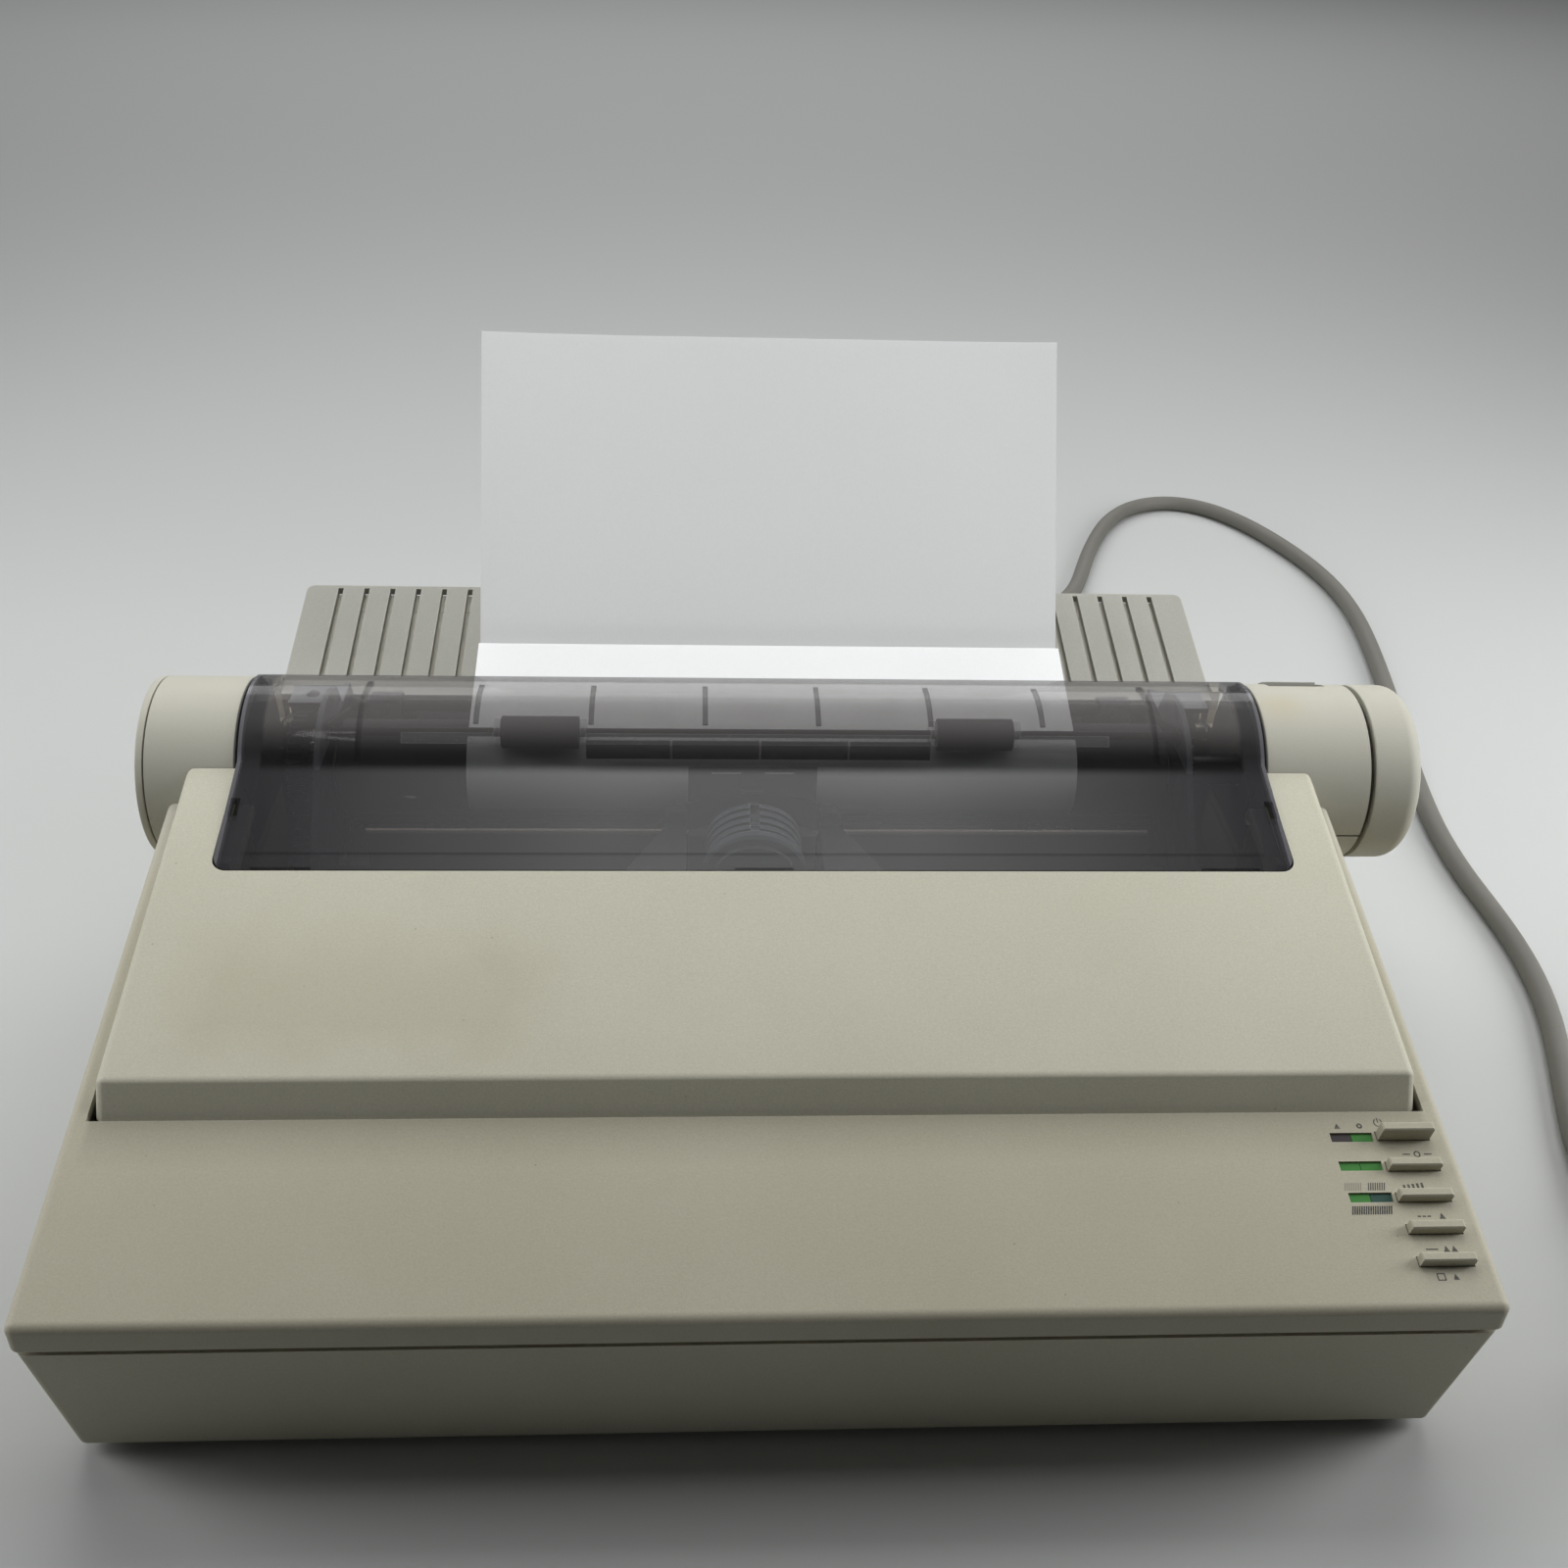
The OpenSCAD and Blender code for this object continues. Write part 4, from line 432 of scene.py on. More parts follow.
def black_plastic():
    """Gears, tractors, carriage and cartridge: dark plastic with dust and rubbed edges."""
    paint = Paint("black_plastic")
    cloud = paint.noise(70, 3)
    shade = paint.mix(cloud * 0.4, colour("#151517"), colour("#28282a"))
    shade = paint.mix(paint.edges(0.5) * 0.2, shade, colour("#6c6c6c"))
    shade = paint.mix(paint.specks(500, 0.2, 0.25) * 0.2, shade, colour("#83817a"))
    paint.set(Base_Color=shade, Roughness=0.38 + 0.2 * paint.noise(300, 3))
    paint.bump(paint.noise(1400, 2), 0.004)
    return paint.material


def grey_plastic():
    """Rear guide and ribbon mask."""
    paint = Paint("grey_plastic")
    cloud = paint.noise(50, 3)
    shade = paint.mix(cloud * 0.5, colour("#55565a"), colour("#6d6e70"))
    shade = paint.mix(paint.edges(0.4) * 0.5, shade, colour("#a9a9a5"))
    paint.set(Base_Color=shade, Roughness=0.45 + 0.2 * paint.noise(250, 3))
    paint.bump(paint.noise(1200, 2), 0.004)
    return paint.material


def steel_sheet():
    """Zinc-plated sheet, with its spangle and fine rolling marks."""
    paint = Paint("steel_sheet", Metallic=1.0)
    grains = paint.node("ShaderNodeSeparateColor", None, {0: paint.cells(130, output=1)})
    rolled = paint.noise(300, 3, 0.6, (1, 1, 12))
    shade = paint.mix(grains * 0.6, colour("#9da0a3"), colour("#c3c5c6"))
    # Painted shade: darker in corners and grooves.
    shade = paint.mix(paint.painted_crevice_shade(3) * 0.5, shade, colour("#5c5a55"))
    shade = paint.mix(paint.edges(0.3) * 0.5, shade, colour("#dededb"))
    paint.set(Base_Color=shade, Roughness=0.34 + 0.16 * grains + 0.12 * rolled)
    paint.bump(rolled, 0.01)
    return paint.material


def frame_steel():
    """Side frames: zinc-plated on the flanges' tops, and painted dark below them as shade."""
    paint = Paint("frame_steel", Metallic=0.6)
    grains = paint.node("ShaderNodeSeparateColor", None, {0: paint.cells(130, output=1)})
    # Below the flanges' tops the frames are painted dark as shade.
    shade = paint.mix(paint.past("Z", 109.9, 110.3), colour("#2a2a2c"), colour("#84868a"))
    shade = paint.mix(grains * 0.25, shade, colour("#55565a"))
    paint.set(Base_Color=shade, Roughness=0.42 + 0.2 * grains)
    paint.bump(paint.noise(300, 3), 0.005)
    return paint.material


def dark_steel():
    """Blackened rods and pressings."""
    paint = Paint("dark_steel", Metallic=0.7)
    film = paint.noise(60, 3)
    shade = paint.mix(film * 0.6, colour("#2c2b2b"), colour("#4c4846"))
    paint.set(Base_Color=shade, Roughness=0.35 + 0.2 * film)
    paint.bump(paint.noise(800, 2, 0.5, (3, 1, 1)), 0.004)
    return paint.material


def rail_steel():
    """The guide rail: painted pale along its top edge as a highlight, and painted dark below it as shade."""
    paint = Paint("rail_steel", Metallic=0.2)
    worn = paint.noise(220, 3, 0.6, (0.1, 1, 1))
    # The pale tone stands in for a highlight along the top edge.
    shade = paint.mix(worn, colour("#c4b2a4"), colour("#ded4ca"))
    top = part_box("guide_rail")[1][2]
    # Below the top edge the rail is painted dark as shade.
    below = paint.between(paint.axis("Z"), top - 1.6 * MM, top - MM, 1.0, 0.0)
    shade = paint.mix(below, shade, colour("#2b2725"))
    paint.set(Base_Color=shade, Roughness=0.35 + 0.2 * worn)
    paint.bump(worn, 0.005)
    return paint.material


def head_alloy():
    """The print head: dark anodised fins with a bright turned rim."""
    paint = Paint("head_alloy", Metallic=0.5)
    cloud = paint.noise(120, 4, 0.65)
    shade = paint.mix(cloud, colour("#4b5057"), colour("#666c74"))
    shade = paint.mix(paint.edges(0.5) * 0.8, shade, colour("#d4d7da"))
    paint.set(Base_Color=shade, Roughness=0.4 + 0.2 * cloud)
    paint.bump(paint.noise(1100, 3), 0.008)
    return paint.material


def bright_steel():
    """Ground and polished rods."""
    paint = Paint("bright_steel", Metallic=1.0)
    ground = paint.noise(900, 2, 0.5, (3, 1, 1))
    film = paint.noise(40, 3)
    shade = paint.mix(paint.between(film, 0.5, 0.8) * 0.5, colour("#c9c8c5"), colour("#98928a"))
    paint.set(Base_Color=shade, Roughness=0.16 + 0.1 * ground + 0.12 * film)
    paint.bump(ground, 0.005)
    return paint.material


def cast_alloy():
    """Motor housings and the data port's shell, with painted shade in their grooves."""
    paint = Paint("cast_alloy", Metallic=0.9)
    cloud = paint.noise(120, 4, 0.65)
    shade = paint.mix(cloud, colour("#6e7174"), colour("#96999b"))
    shade = paint.mix(paint.edges(0.5) * 0.6, shade, colour("#d4d4d2"))
    # Painted shade: darker in corners and grooves.
    shade = paint.mix(paint.painted_crevice_shade(2.5) * 0.6, shade, colour("#26262a"))
    paint.set(Base_Color=shade, Roughness=0.4 + 0.2 * cloud)
    paint.bump(paint.noise(1100, 3), 0.03)
    return paint.material


def brass():
    """Turned brass under a dull film."""
    paint = Paint("brass", Metallic=1.0)
    turned = paint.noise(700, 2, 0.5, (6, 1, 1))
    film = paint.noise(90, 3)
    shade = paint.mix(film * 0.7, colour("#cfae6a"), colour("#8d7140"))
    paint.set(Base_Color=shade, Roughness=0.22 + 0.14 * turned + 0.1 * film)
    paint.bump(turned, 0.008)
    return paint.material


def white_nylon():
    """Moulded nylon that has yellowed a little."""
    paint = Paint("white_nylon")
    cloud = paint.noise(60, 3)
    shade = paint.mix(cloud * 0.6, colour("#dcd8c8"), colour("#c2bca6"))
    # Painted shade: darker in corners and grooves.
    shade = paint.mix(paint.painted_crevice_shade(1.6) * 0.6, shade, colour("#6d675a"))
    shade = paint.mix(paint.edges(0.4) * 0.3, shade, colour("#f2f0e6"))
    paint.set(Base_Color=shade, Roughness=0.42 + 0.16 * cloud)
    paint.bump(paint.noise(700, 2), 0.015)
    return paint.material


def clear_plastic():
    """Clear strip, painted white at its edges as a highlight, with dust."""
    paint = Paint("clear_plastic", Coat_Weight=0.5)
    # The edges are painted white as a highlight.
    rim = paint.edges(0.5)
    dust = paint.specks(600, 0.2, 0.3)
    shade = paint.mix(rim, colour("#c8cdd0"), colour("#ffffff"))
    paint.set(Base_Color=shade, Roughness=0.1 + 0.15 * paint.noise(200, 2),
              Alpha=0.22 + 0.4 * rim + 0.3 * dust)
    paint.bump(paint.noise(300, 2), 0.01)
    return paint.material


# The bail's scale, which hangs from its guide between the rollers: half its length, its profile and its ticks
SCALE_HALF = 58.5
SCALE_PROFILE = [(191.5, 109.9), (192.1, 109.9), (192.3, 114.6),
                 (193.4, 116.1), (193.0, 116.5), (191.8, 115.2)]
SCALE_TICKS = (-29.8, 0.3, 30.5)


def scale_plastic():
    """A brown tinted strip with pale ticks, greyer and duller towards its ends."""
    paint = Paint("scale_plastic")
    ends = 1 - paint.window("X", -90, 90, 0.3)
    ticks = sum(paint.window("X", place - 0.4, place + 0.4, 0.1) for place in SCALE_TICKS)
    film = paint.noise(160, 3)
    shade = paint.mix(film * 0.5, colour("#3c3734"), colour("#544d49"))
    shade = paint.mix(ends, shade, colour("#8b8681"))
    shade = paint.mix(ticks, shade, colour("#d8d5cf"))
    paint.set(Base_Color=shade, Roughness=0.25 + 0.15 * film,
              Alpha=0.62 + 0.1 * film + 0.2 * ends + 0.2 * ticks)
    paint.bump(film, 0.01)
    return paint.material


def white_paper():
    """Plain copier paper: faint fibres and clouds."""
    paint = Paint("white_paper")
    fibres = paint.noise(2600, 3, 0.7, (1, 0.35, 0.35), 1.2)
    cloud = paint.noise(14, 3)
    shade = paint.mix(cloud * 0.5, colour("#f1f2f2"), colour("#e7e9ea"))
    shade = paint.mix(paint.between(fibres, 0.35, 0.75) * 0.12, shade, colour("#b9bbbb"))
    paint.set(Base_Color=shade, Roughness=0.85 + 0.1 * cloud)
    paint.bump(fibres, 0.02)
    paint.bump(paint.noise(60, 3), 0.12, 0.6)
    return paint.material


def cord_sheath():
    """The lead's soft grey sheath, its connector and its plug."""
    paint = Paint("cord_sheath")
    cloud = paint.noise(40, 3)
    shade = paint.mix(cloud, colour("#62615b"), colour("#73716a"))
    # Painted shade: darker in corners and grooves.
    shade = paint.mix(paint.painted_crevice_shade(3) * 0.5, shade, colour("#4f4d46"))
    shade = paint.mix(paint.specks(300, 0.2, 0.2) * 0.4, shade, colour("#5d5a50"))
    paint.set(Base_Color=shade, Roughness=0.5 + 0.2 * cloud)
    paint.bump(paint.noise(500, 2), 0.03)
    return paint.material


# Top of the printed boards, where their finish gives way to that of the pieces on them
BOARD_TOP = (14.3, 14.4)


def green_board():
    """Printed board: green lacquer over copper tracks, pale pins, dark chips and one blue can."""
    paint = Paint("green_board")
    track = paint.between(paint.cells(170, "DISTANCE_TO_EDGE"), 0.05, 0.09, 1.0, 0.0)
    pad = paint.specks(260, 0.22, 0.5)
    board = paint.mix(track * 0.6, colour("#1f4f33"), colour("#3b7a52"))
    board = paint.mix(pad, board, colour("#b7b5a6"))
    can = paint.zone(X=(25.5, 44.5, 0.1), Y=(75.5, 94.5, 0.1))
    chip = paint.mix(can, colour("#222224"), colour("#274a80"))
    chip = paint.mix(can * paint.past("Z", 26.8, 27), chip, colour("#b9bcc0"))
    raised = paint.past("Z", *BOARD_TOP) * paint.zone(Y=(14, 106, 0.1), X=(-170, 70, 0.1))
    shade = paint.mix(raised, board, chip)
    paint.set(Base_Color=shade, Roughness=0.35 + 0.2 * paint.noise(150, 2))
    paint.bump(track + pad, 0.04)
    return paint.material


def transformer():
    """Power supply: brown board, laminated core with a varnished winding, capacitors and a heat sink."""
    paint = Paint("transformer")
    board = paint.mix(paint.specks(240, 0.22, 0.5), colour("#8a6a3a"), colour("#c4c0b0"))
    layers = paint.noise(260, 1, 0.5, (0.02, 0.02, 5))
    core = paint.mix(layers, colour("#2f2d2b"), colour("#6c6862"))
    winding = paint.mix(paint.noise(90, 2), colour("#c9a23c"), colour("#a37a25"))
    cans = paint.zone(Y=(20, 39, 0.2), X=(88, 128, 0.2))
    sink = paint.zone(X=(132, 158, 0.2), Y=(22, 28.5, 0.2))
    body = paint.mix(paint.zone(X=(95.5, 146.5, 0.2), Y=(47.5, 82.5, 0.2)), winding, core)
    body = paint.mix(cans, body, colour("#26304a"))
    body = paint.mix(sink, body, colour("#9a9c9e"))
    shade = paint.mix(paint.past("Z", *BOARD_TOP), board, body)
    paint.set(Base_Color=shade, Roughness=0.45 + 0.2 * paint.noise(120, 3))
    paint.bump(layers, 0.05)
    return paint.material


def green_lens():
    """Status windows: each half has its own colour, and all of them carry a faint painted glow in it."""
    paint = Paint("green_lens", Coat_Weight=0.4, Emission_Strength=0.1)
    left = paint.window("X", 158, 166.2, 0.1)
    rear = paint.window("Y", 46.5, 60, 0.1)
    front = paint.window("Y", 20, 37, 0.1)
    shade = paint.mix(rear * left, colour("#377a30"), colour("#382f33"))
    shade = paint.mix(front * (1 - left), shade, colour("#274a42"))
    cloud = paint.noise(900, 2)
    shade = paint.mix(cloud * 0.25, shade, colour("#2c3a2a"))
    # Every half glows faintly in its own colour: a painted glow.
    paint.set(Base_Color=shade, Roughness=0.25 + 0.15 * cloud, Emission_Color=shade)
    paint.bump(cloud, 0.02)
    return paint.material


def print_mark(name, code):
    """Screen-printed ink on the panel."""
    paint = Paint(name)
    worn = paint.noise(1800, 3)
    shade = paint.mix(paint.between(worn, 0.45, 0.8) * 0.4, colour(code), colour("#a5a291"))
    paint.set(Base_Color=shade, Roughness=0.5 + 0.2 * worn)
    paint.bump(worn, 0.01)
    return paint.material


FINISHES = {finish.__name__: finish() for finish in (
    case_plastic, cover_plastic, smoked_plastic, black_rubber, black_plastic, grey_plastic, steel_sheet,
    bright_steel, cast_alloy, brass, white_nylon, clear_plastic, white_paper, cord_sheath, green_board,
    transformer, green_lens, rack_plastic, frame_steel, dark_steel, scale_plastic, rail_steel, head_alloy)}

# Nodes whose finish differs from the rest of their slot
OWN_FINISH = {
    "paper_rack": "rack_plastic", "frame_left": "frame_steel", "frame_right": "frame_steel",
    "paper_bail": "dark_steel", "tractor_rod": "dark_steel", "tractor_shaft": "dark_steel",
    "platen_gear": "black_plastic", "feed_idler": "black_plastic", "base_plate": "dark_steel",
    "paper_pan": "dark_steel", "guide_rail": "rail_steel", "release_lever": "rack_plastic",
    "print_head": "head_alloy", "platen_shaft": "dark_steel"}


def dress_nodes():
    """Gives each node the finish of its slot, or its own."""
    for part in frame["record"]["subparts"]:
        node = NODES[part["node"]]
        node.data.materials.clear()
        node.data.materials.append(FINISHES[OWN_FINISH.get(part["node"], part["material_slot"])])


# Radius in millimetres that the moulding, pressing or turning leaves on each node's edges
SOFT_EDGES = {
    "upper_case": 0.5, "lower_case": 0.5, "front_cover": 0.5, "end_cap": 0.5, "platen_knob": 0.4,
    "paper_rack": 0.4, "release_lever": 0.4, "carrier_cover": 0.25, "platen": 0.4, "bail_roller_left": 0.3,
    "bail_roller_right": 0.3, "power_button": 0.25, "select_button": 0.25, "quality_button": 0.25,
    "line_button": 0.25, "form_button": 0.25, "carriage": 0.4, "ribbon_cartridge": 0.35, "print_head": 0.3,
    "tractor_left": 0.3, "tractor_right": 0.3, "frame_left": 0.2, "frame_right": 0.2, "base_plate": 0.2,
    "bail_guide": 0.15, "rear_guide": 0.15, "power_inlet": 0.3, "data_port": 0.3, "feet": 0.4,
    "cord_plug": 0.6, "cord_connector": 0.6, "cord_tie": 0.15, "feed_motor": 0.4, "carriage_motor": 0.4,
    "platen_bushes": 0.2, "guide_rail": 0.15, "paper_bail": 0.15, "ribbon_mask": 0.05, "power_supply": 0.3,
    "case_screws": 0.2, "pinch_rollers": 0.2, "platen_shaft": 0.3, "carriage_rod": 0.3, "motor_pulley": 0.15,
    "belt_pulley": 0.15}


def soften(name, radius):
    """Merges a node's flat faces, rounds its edges and shades it evenly, with modifiers alone."""
    node = NODES[name]
    weld = node.modifiers.new("weld", "WELD")
    weld.merge_threshold = 0.002 * MM
    flat = node.modifiers.new("flat_faces", "DECIMATE")
    flat.decimate_type = "DISSOLVE"
    flat.angle_limit = math.radians(0.4)
    bevel = node.modifiers.new("soft_edge", "BEVEL")
    bevel.width = radius * MM
    bevel.segments = 2
    bevel.limit_method = "ANGLE"
    bevel.angle_limit = math.radians(34)
    bevel.use_clamp_overlap = True
    even = node.modifiers.new("even_shading", "WEIGHTED_NORMAL")
    even.keep_sharp = False
    node.data.polygons.foreach_set("use_smooth", [True] * len(node.data.polygons))


def add_piece(name, mesh):
    """Makes an object from a finished mesh."""
    data = bpy.data.meshes.new(name)
    mesh.to_mesh(data)
    mesh.free()
    piece = bpy.data.objects.new(name, data)
    bpy.context.scene.collection.objects.link(piece)
    return piece


def close_prism(mesh, low, high, slot=0):
    """Adds the ends and sides between two matching outlines."""
    count = len(low)
    sides = [(low[i], low[(i + 1) % count], high[(i + 1) % count], high[i]) for i in range(count)]
    for face in [high, low[::-1]] + sides:
        mesh.faces.new(face).material_index = slot


# The loaded sheet: a strip before the platen, its wrap round it, and its rise behind, which leans back.
# SHEET_SPACE is the thickness that the part's source keeps for it, and PAPER_T is the paper's own.
PLATEN_R = 16.5
SHEET_GAP = 0.3
SHEET_SPACE = 0.3
FEED_R = PLATEN_R + SHEET_GAP + SHEET_SPACE / 2
PAPER_T = 0.12
SHEET_W, SHEET_MID = 210.0, 5.7
STRIP_LEN, STRIP_ANGLE = 43.0, math.radians(108)
SHEET_RUN, SHEET_RISE = 157.5, math.radians(55.5)

# Rows and columns of its mesh, and the row past which the free end curls
STRIP_STEPS, WRAP_STEPS, RISE_STEPS = 12, 40, 40
SHEET_COLUMNS = 36
CURL_ROW = 62


def round_platen(angle):
    """A place on the sheet's middle plane where it lies round the platen, as depth and height."""
    return (DRUM_Y + FEED_R * math.cos(angle), DRUM_Z + FEED_R * math.sin(angle))


def sheet_path():
    """The sheet's line from the edge of its strip to its free end, as depths and heights."""
    first = round_platen(STRIP_ANGLE)
    last = math.radians(270) + SHEET_RISE
    points = []
    for step in range(STRIP_STEPS):
        out = STRIP_LEN * (1 - step / STRIP_STEPS)
        points.append((first[0] + out * math.sin(STRIP_ANGLE), first[1] - out * math.cos(STRIP_ANGLE)))
    for step in range(WRAP_STEPS + 1):
        points.append(round_platen(STRIP_ANGLE + (last - STRIP_ANGLE) * step / WRAP_STEPS))
    foot = points[-1]
    for step in range(1, RISE_STEPS + 1):
        out = SHEET_RUN * step / RISE_STEPS
        points.append((foot[0] + out * math.cos(SHEET_RISE), foot[1] + out * math.sin(SHEET_RISE)))
    return points


def curl(across):
    """How far the free end stands off its plane, in millimetres: its corners forward and its middle back."""
    return 1.6 * across ** 4 - 0.8 * (1 - across ** 2) + 0.5 * math.sin(3.1 * across + 1)


def make_sheet():
    """Plain paper, flat at the platen and curled towards its free end."""
    path = sheet_path()
    end = len(path) - 1
    mesh = bmesh.new()
    rows = []
    for row, (y, z) in enumerate(path):
        free = max(0, row - CURL_ROW) / (end - CURL_ROW)
        ahead = path[min(row + 1, end)]
        behind = path[max(row - 1, 0)]
        along = Vector((0, ahead[0] - behind[0], ahead[1] - behind[1])).normalized()
        out = Vector((0, -along.z, along.y))
        line = []
        for column in range(SHEET_COLUMNS + 1):
            across = column / SHEET_COLUMNS * 2 - 1
            lift = free ** 2 * curl(across)
            line.append(mesh.verts.new(at(SHEET_MID + across * SHEET_W / 2, y, z) + out * lift * MM))
        rows.append(line)
    for low, high in zip(rows, rows[1:]):
        for a, b, c, d in zip(low, low[1:], high[1:], high):
            mesh.faces.new((a, b, c, d)).smooth = True
    sheet = add_piece("loaded_sheet", mesh)
    skin = sheet.modifiers.new("paper_thickness", "SOLIDIFY")
    skin.thickness = PAPER_T * MM
    skin.offset = 0
    sheet.modifiers.new("even_shading", "WEIGHTED_NORMAL")
    sheet.data.materials.append(FINISHES["white_paper"])
    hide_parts("paper_sheet")
    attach(sheet, "case")


# Hatched marks beside the status windows: left, right, front, rear, stripe width and ink
HATCHES = [(159.2, 165.2, 34.5, 36.8, 0.3, "#858275"), (165.9, 171.5, 34.5, 36.8, 0.36, "#4b4944"),
           (159.3, 171.9, 27.3, 29.8, 0.42, "#1d1d20")]
HATCH_PITCH = 0.64
HATCH_SLANT = 0.3

# Ink of the signs, the short pieces of a ring, and how deep the ink's film sits and how far it stands out
SIGN_INK = "#3d3c37"
RING_STEPS = 18
INK_DEPTH, INK_HEIGHT = 0.05, 0.02


def ring(x, y, radius, width, gap=0.0):
    """Outlines of a ring's short pieces, open at the rear by gap radians each way."""
    inner, outer = radius - width / 2, radius + width / 2
    corners = []
    for step in range(RING_STEPS + 1):
        angle = math.pi / 2 + gap + (math.tau - 2 * gap) * step / RING_STEPS
        places = [(x + reach * math.cos(angle), y + reach * math.sin(angle)) for reach in (inner, outer)]
        corners.append(places)
    return [[first[0], first[1], last[1], last[0]] for first, last in zip(corners, corners[1:])]


def bar(x, y, width, depth):
    """Outline of an upright bar about its middle."""
    return [(x - width / 2, y - depth / 2), (x + width / 2, y - depth / 2), (x + width / 2, y + depth / 2),
            (x - width / 2, y + depth / 2)]


def arrow(x, y, size):
    """Outline of an arrowhead that points to the rear."""
    return [(x - size / 2, y - size / 2), (x + size / 2, y - size / 2), (x, y + size / 2)]


def panel_signs():
    """Plain signs behind and beside the buttons, from the rear to the front."""
    signs = [arrow(162.8, 54.6, 1.7)] + ring(169.4, 54.6, 0.6, 0.5)
    signs += ring(175.2, 55.6, 1.2, 0.34, 0.5) + [bar(175.2, 56.4, 0.34, 1.5)]
    signs += ring(183.5, 45.5, 0.8, 0.4) + [bar(180.4, 45.5, 2.2, 0.4), bar(186.6, 45.5, 2.2, 0.4)]
    signs += [bar(176.6 + 1.3 * step, 35.6, 0.7, 0.9 + 0.3 * step) for step in range(5)]
    signs += [bar(178 + 1.4 * step, 26.6, 1, 0.4) for step in range(3)] + [arrow(184.4, 26.7, 1.8)]
    signs += [bar(178.4, 17, 3.4, 0.4), arrow(182.4, 17.1, 1.8), arrow(184.6, 17.1, 1.8)]
    signs += [bar(177.4, 9.2, 0.3, 2), bar(179.4, 9.2, 0.3, 2)]
    signs += [bar(178.4, 10.1, 2, 0.3), bar(178.4, 8.3, 2, 0.3), arrow(182.4, 9.2, 1.7)]
    return signs


def print_outline(mesh, outline, ink):
    """Lays a thin film of ink on the panel."""
    low = [mesh.verts.new(on_top(x, y, -INK_DEPTH)) for x, y in outline]
    high = [mesh.verts.new(on_top(x, y, INK_HEIGHT)) for x, y in outline]
    close_prism(mesh, low, high, ink)


def make_marks():
    """The printed hatches and signs, as one piece with an ink for each hatch and one for the signs."""
    mesh = bmesh.new()
    for ink, (left, right, front, rear, width, code) in enumerate(HATCHES):
        slant = (rear - front) * HATCH_SLANT
        count = int((right - left - slant - width) / HATCH_PITCH)
        for stripe in range(count + 1):
            x = left + stripe * HATCH_PITCH
            stroke = [(x, front), (x + width, front), (x + width + slant, rear), (x + slant, rear)]
            print_outline(mesh, stroke, ink)
    for outline in panel_signs():
        print_outline(mesh, outline, len(HATCHES))
    marks = add_piece("panel_marks", mesh)
    for number, hatch in enumerate(HATCHES, 1):
        marks.data.materials.append(print_mark("panel_ink_%d" % number, hatch[-1]))
    marks.data.materials.append(print_mark("panel_ink_signs", SIGN_INK))
    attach(marks, "case")


def make_scale():
    """The tinted scale on the bail: its profile drawn out from end to end."""
    mesh = bmesh.new()
    ends = [[mesh.verts.new(at(x, y, z)) for y, z in SCALE_PROFILE] for x in (-SCALE_HALF, SCALE_HALF)]
    close_prism(mesh, *ends)
    bmesh.ops.recalc_face_normals(mesh, faces=mesh.faces)
    scale = add_piece("bail_scale", mesh)
    bevel = scale.modifiers.new("soft_edge", "BEVEL")
    bevel.width = 0.12 * MM
    bevel.segments = 2
    scale.data.materials.append(FINISHES["scale_plastic"])
    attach(scale, "paper_bail")


# Studio: places and sizes in metres, and power in watts
FLOOR_HALF = 8


def make_floor():
    """A plain pale floor that takes the printer's shadow."""
    mesh = bmesh.new()
    bmesh.ops.create_grid(mesh, x_segments=1, y_segments=1, size=FLOOR_HALF)
    floor = add_piece("floor", mesh)
    paint = Paint("pale_floor", Roughness=0.9)
    paint.set(Base_Color=colour("#bcbebd"))
    floor.data.materials.append(paint.material)


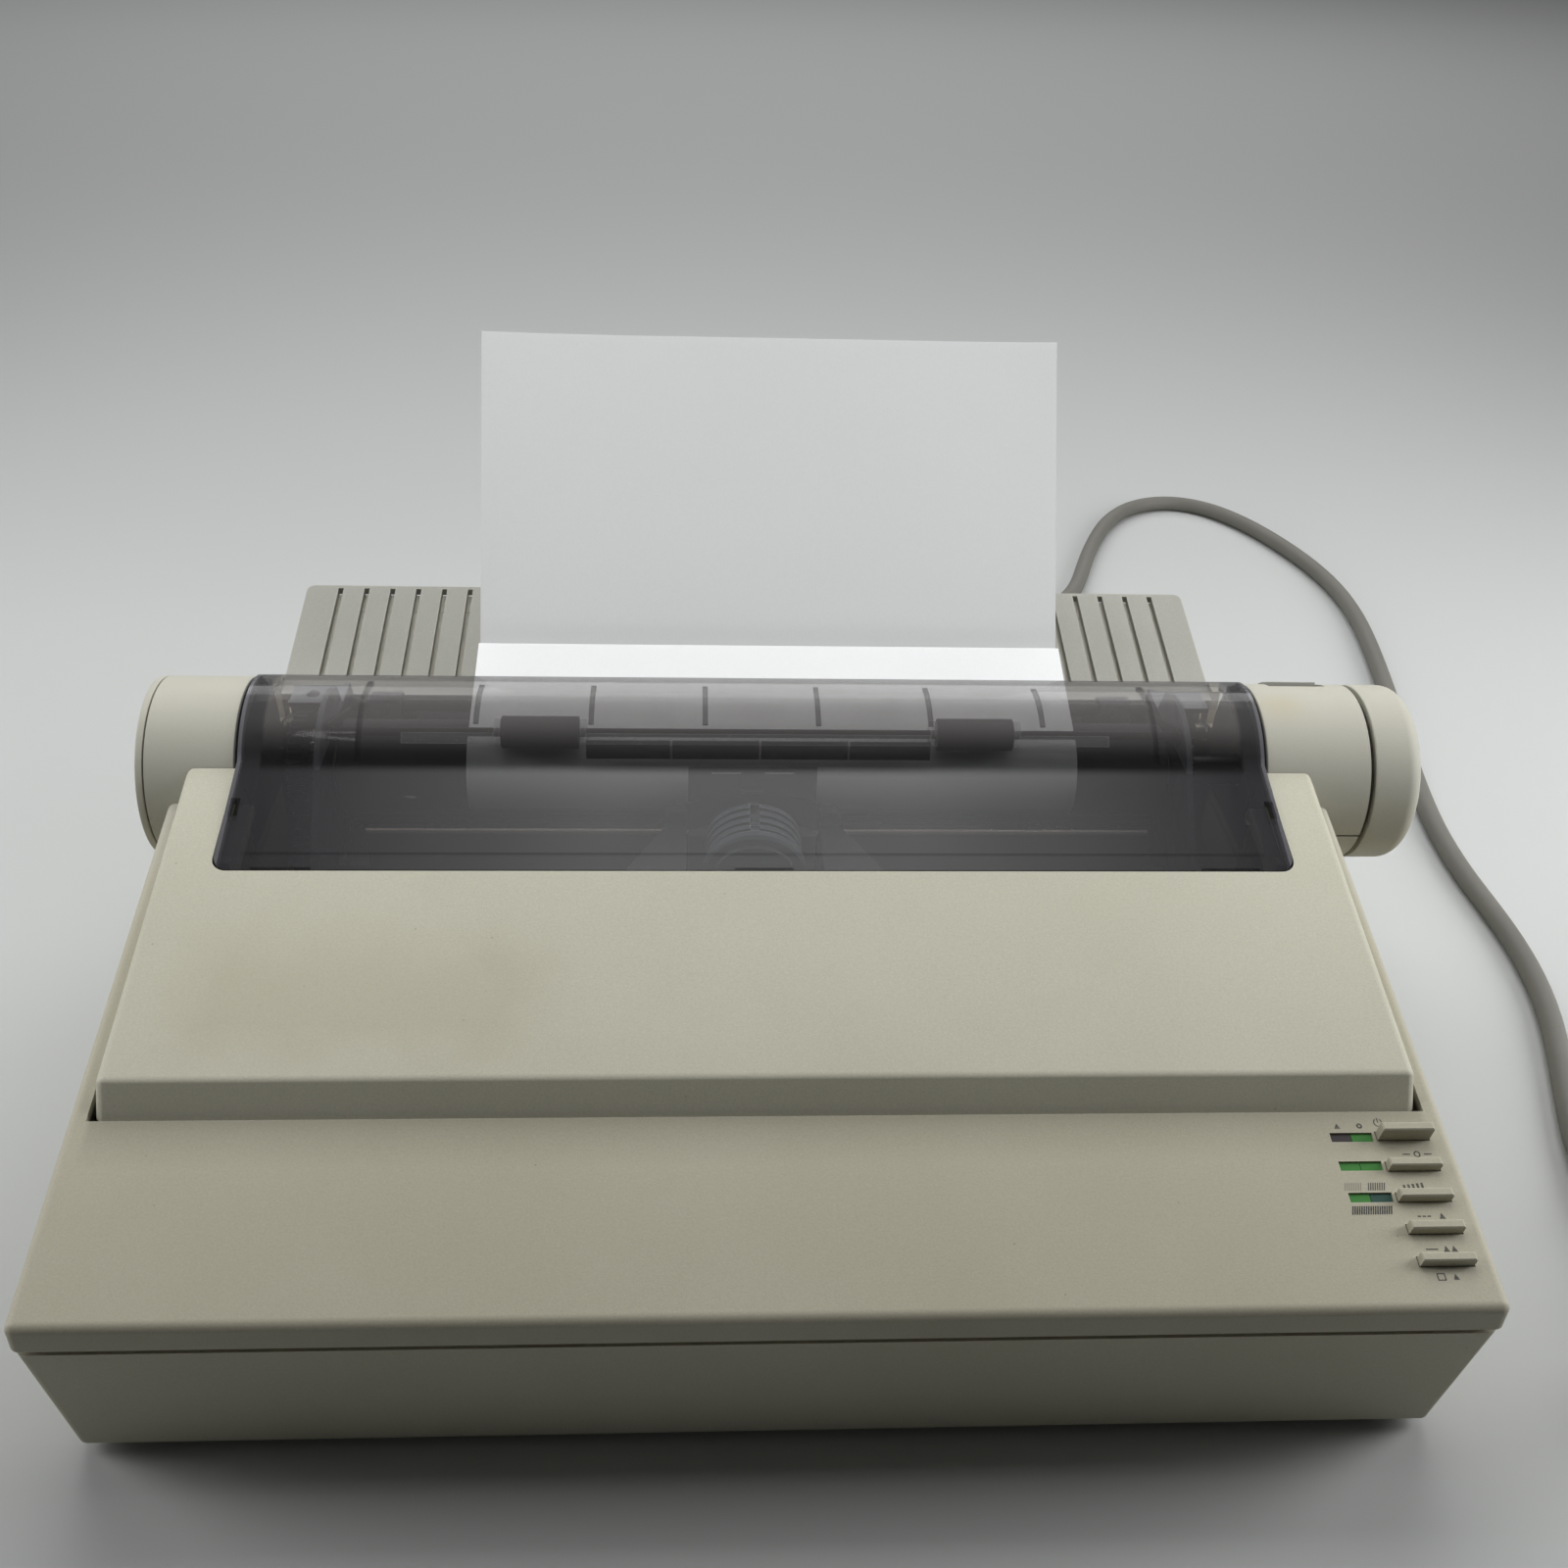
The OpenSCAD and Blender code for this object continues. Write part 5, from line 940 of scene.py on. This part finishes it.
def make_lamp(name, place, target, width, depth, power, spread=180, in_gloss=True):
    """A rectangular lamp that faces its target, with its spread in degrees."""
    lamp = bpy.data.lights.new(name, "AREA")
    lamp.shape = "RECTANGLE"
    lamp.size = width
    lamp.size_y = depth
    lamp.energy = power
    lamp.spread = math.radians(spread)
    holder = bpy.data.objects.new(name, lamp)
    bpy.context.scene.collection.objects.link(holder)
    holder.location = place
    holder.rotation_euler = (Vector(target) - Vector(place)).to_track_quat("-Z", "Y").to_euler()
    holder.visible_glossy = in_gloss


def make_lamps():
    """A broad panel above, one at each side, a narrow one for the sheet, and one for the floor behind."""
    make_lamp("top_light", (0, 0.42, 0.85), (0, 0.36, 0), 1.3, 0.55, 5.2, in_gloss=False)
    make_lamp("left_light", (-0.8, 0, 0.42), (0, 0.1, 0.1), 0.3, 0.6, 3.2)
    make_lamp("right_light", (0.8, 0, 0.42), (0, 0.1, 0.1), 0.3, 0.6, 4.8)
    make_lamp("paper_light", (0, -0.05, 0.8), (0, 0.09, 0.15), 0.8, 0.1, 0.16, spread=44, in_gloss=False)
    make_lamp("far_light", (0, 2.1, 1.7), (0, 1.6, 0), 3, 1, 25)


# What the world lights with, and what the camera, glass and gloss see of it instead
SKY = "#343434"
SEEN_SKY = {"Is Glossy Ray": "#8a8b8b", "Is Transmission Ray": "#e6e7e6", "Is Camera Ray": "#e6e7e6"}


def make_world():
    """A dim even sky that looks pale to the camera and through glass, and grey in reflections."""
    world = bpy.data.worlds.new("studio")
    bpy.context.scene.world = world
    world.use_nodes = True
    nodes, links = world.node_tree.nodes, world.node_tree.links
    nodes.clear()
    rays = nodes.new("ShaderNodeLightPath")
    sky = nodes.new("ShaderNodeBackground")
    sky.inputs[0].default_value = colour(SKY)
    for kind, code in SEEN_SKY.items():
        other = nodes.new("ShaderNodeBackground")
        other.inputs[0].default_value = colour(code)
        join = nodes.new("ShaderNodeMixShader")
        links.new(rays.outputs[kind], join.inputs[0])
        links.new(sky.outputs[0], join.inputs[1])
        links.new(other.outputs[0], join.inputs[2])
        sky = join
    output = nodes.new("ShaderNodeOutputWorld")
    links.new(sky.outputs[0], output.inputs[0])
    bpy.context.scene.view_settings.view_transform = "Standard"


dress_nodes()
mains_lead.data.materials.append(FINISHES["cord_sheath"])
for node_name, edge_radius in SOFT_EDGES.items():
    soften(node_name, edge_radius)
make_sheet()
make_marks()
make_scale()
make_floor()
make_lamps()
make_world()
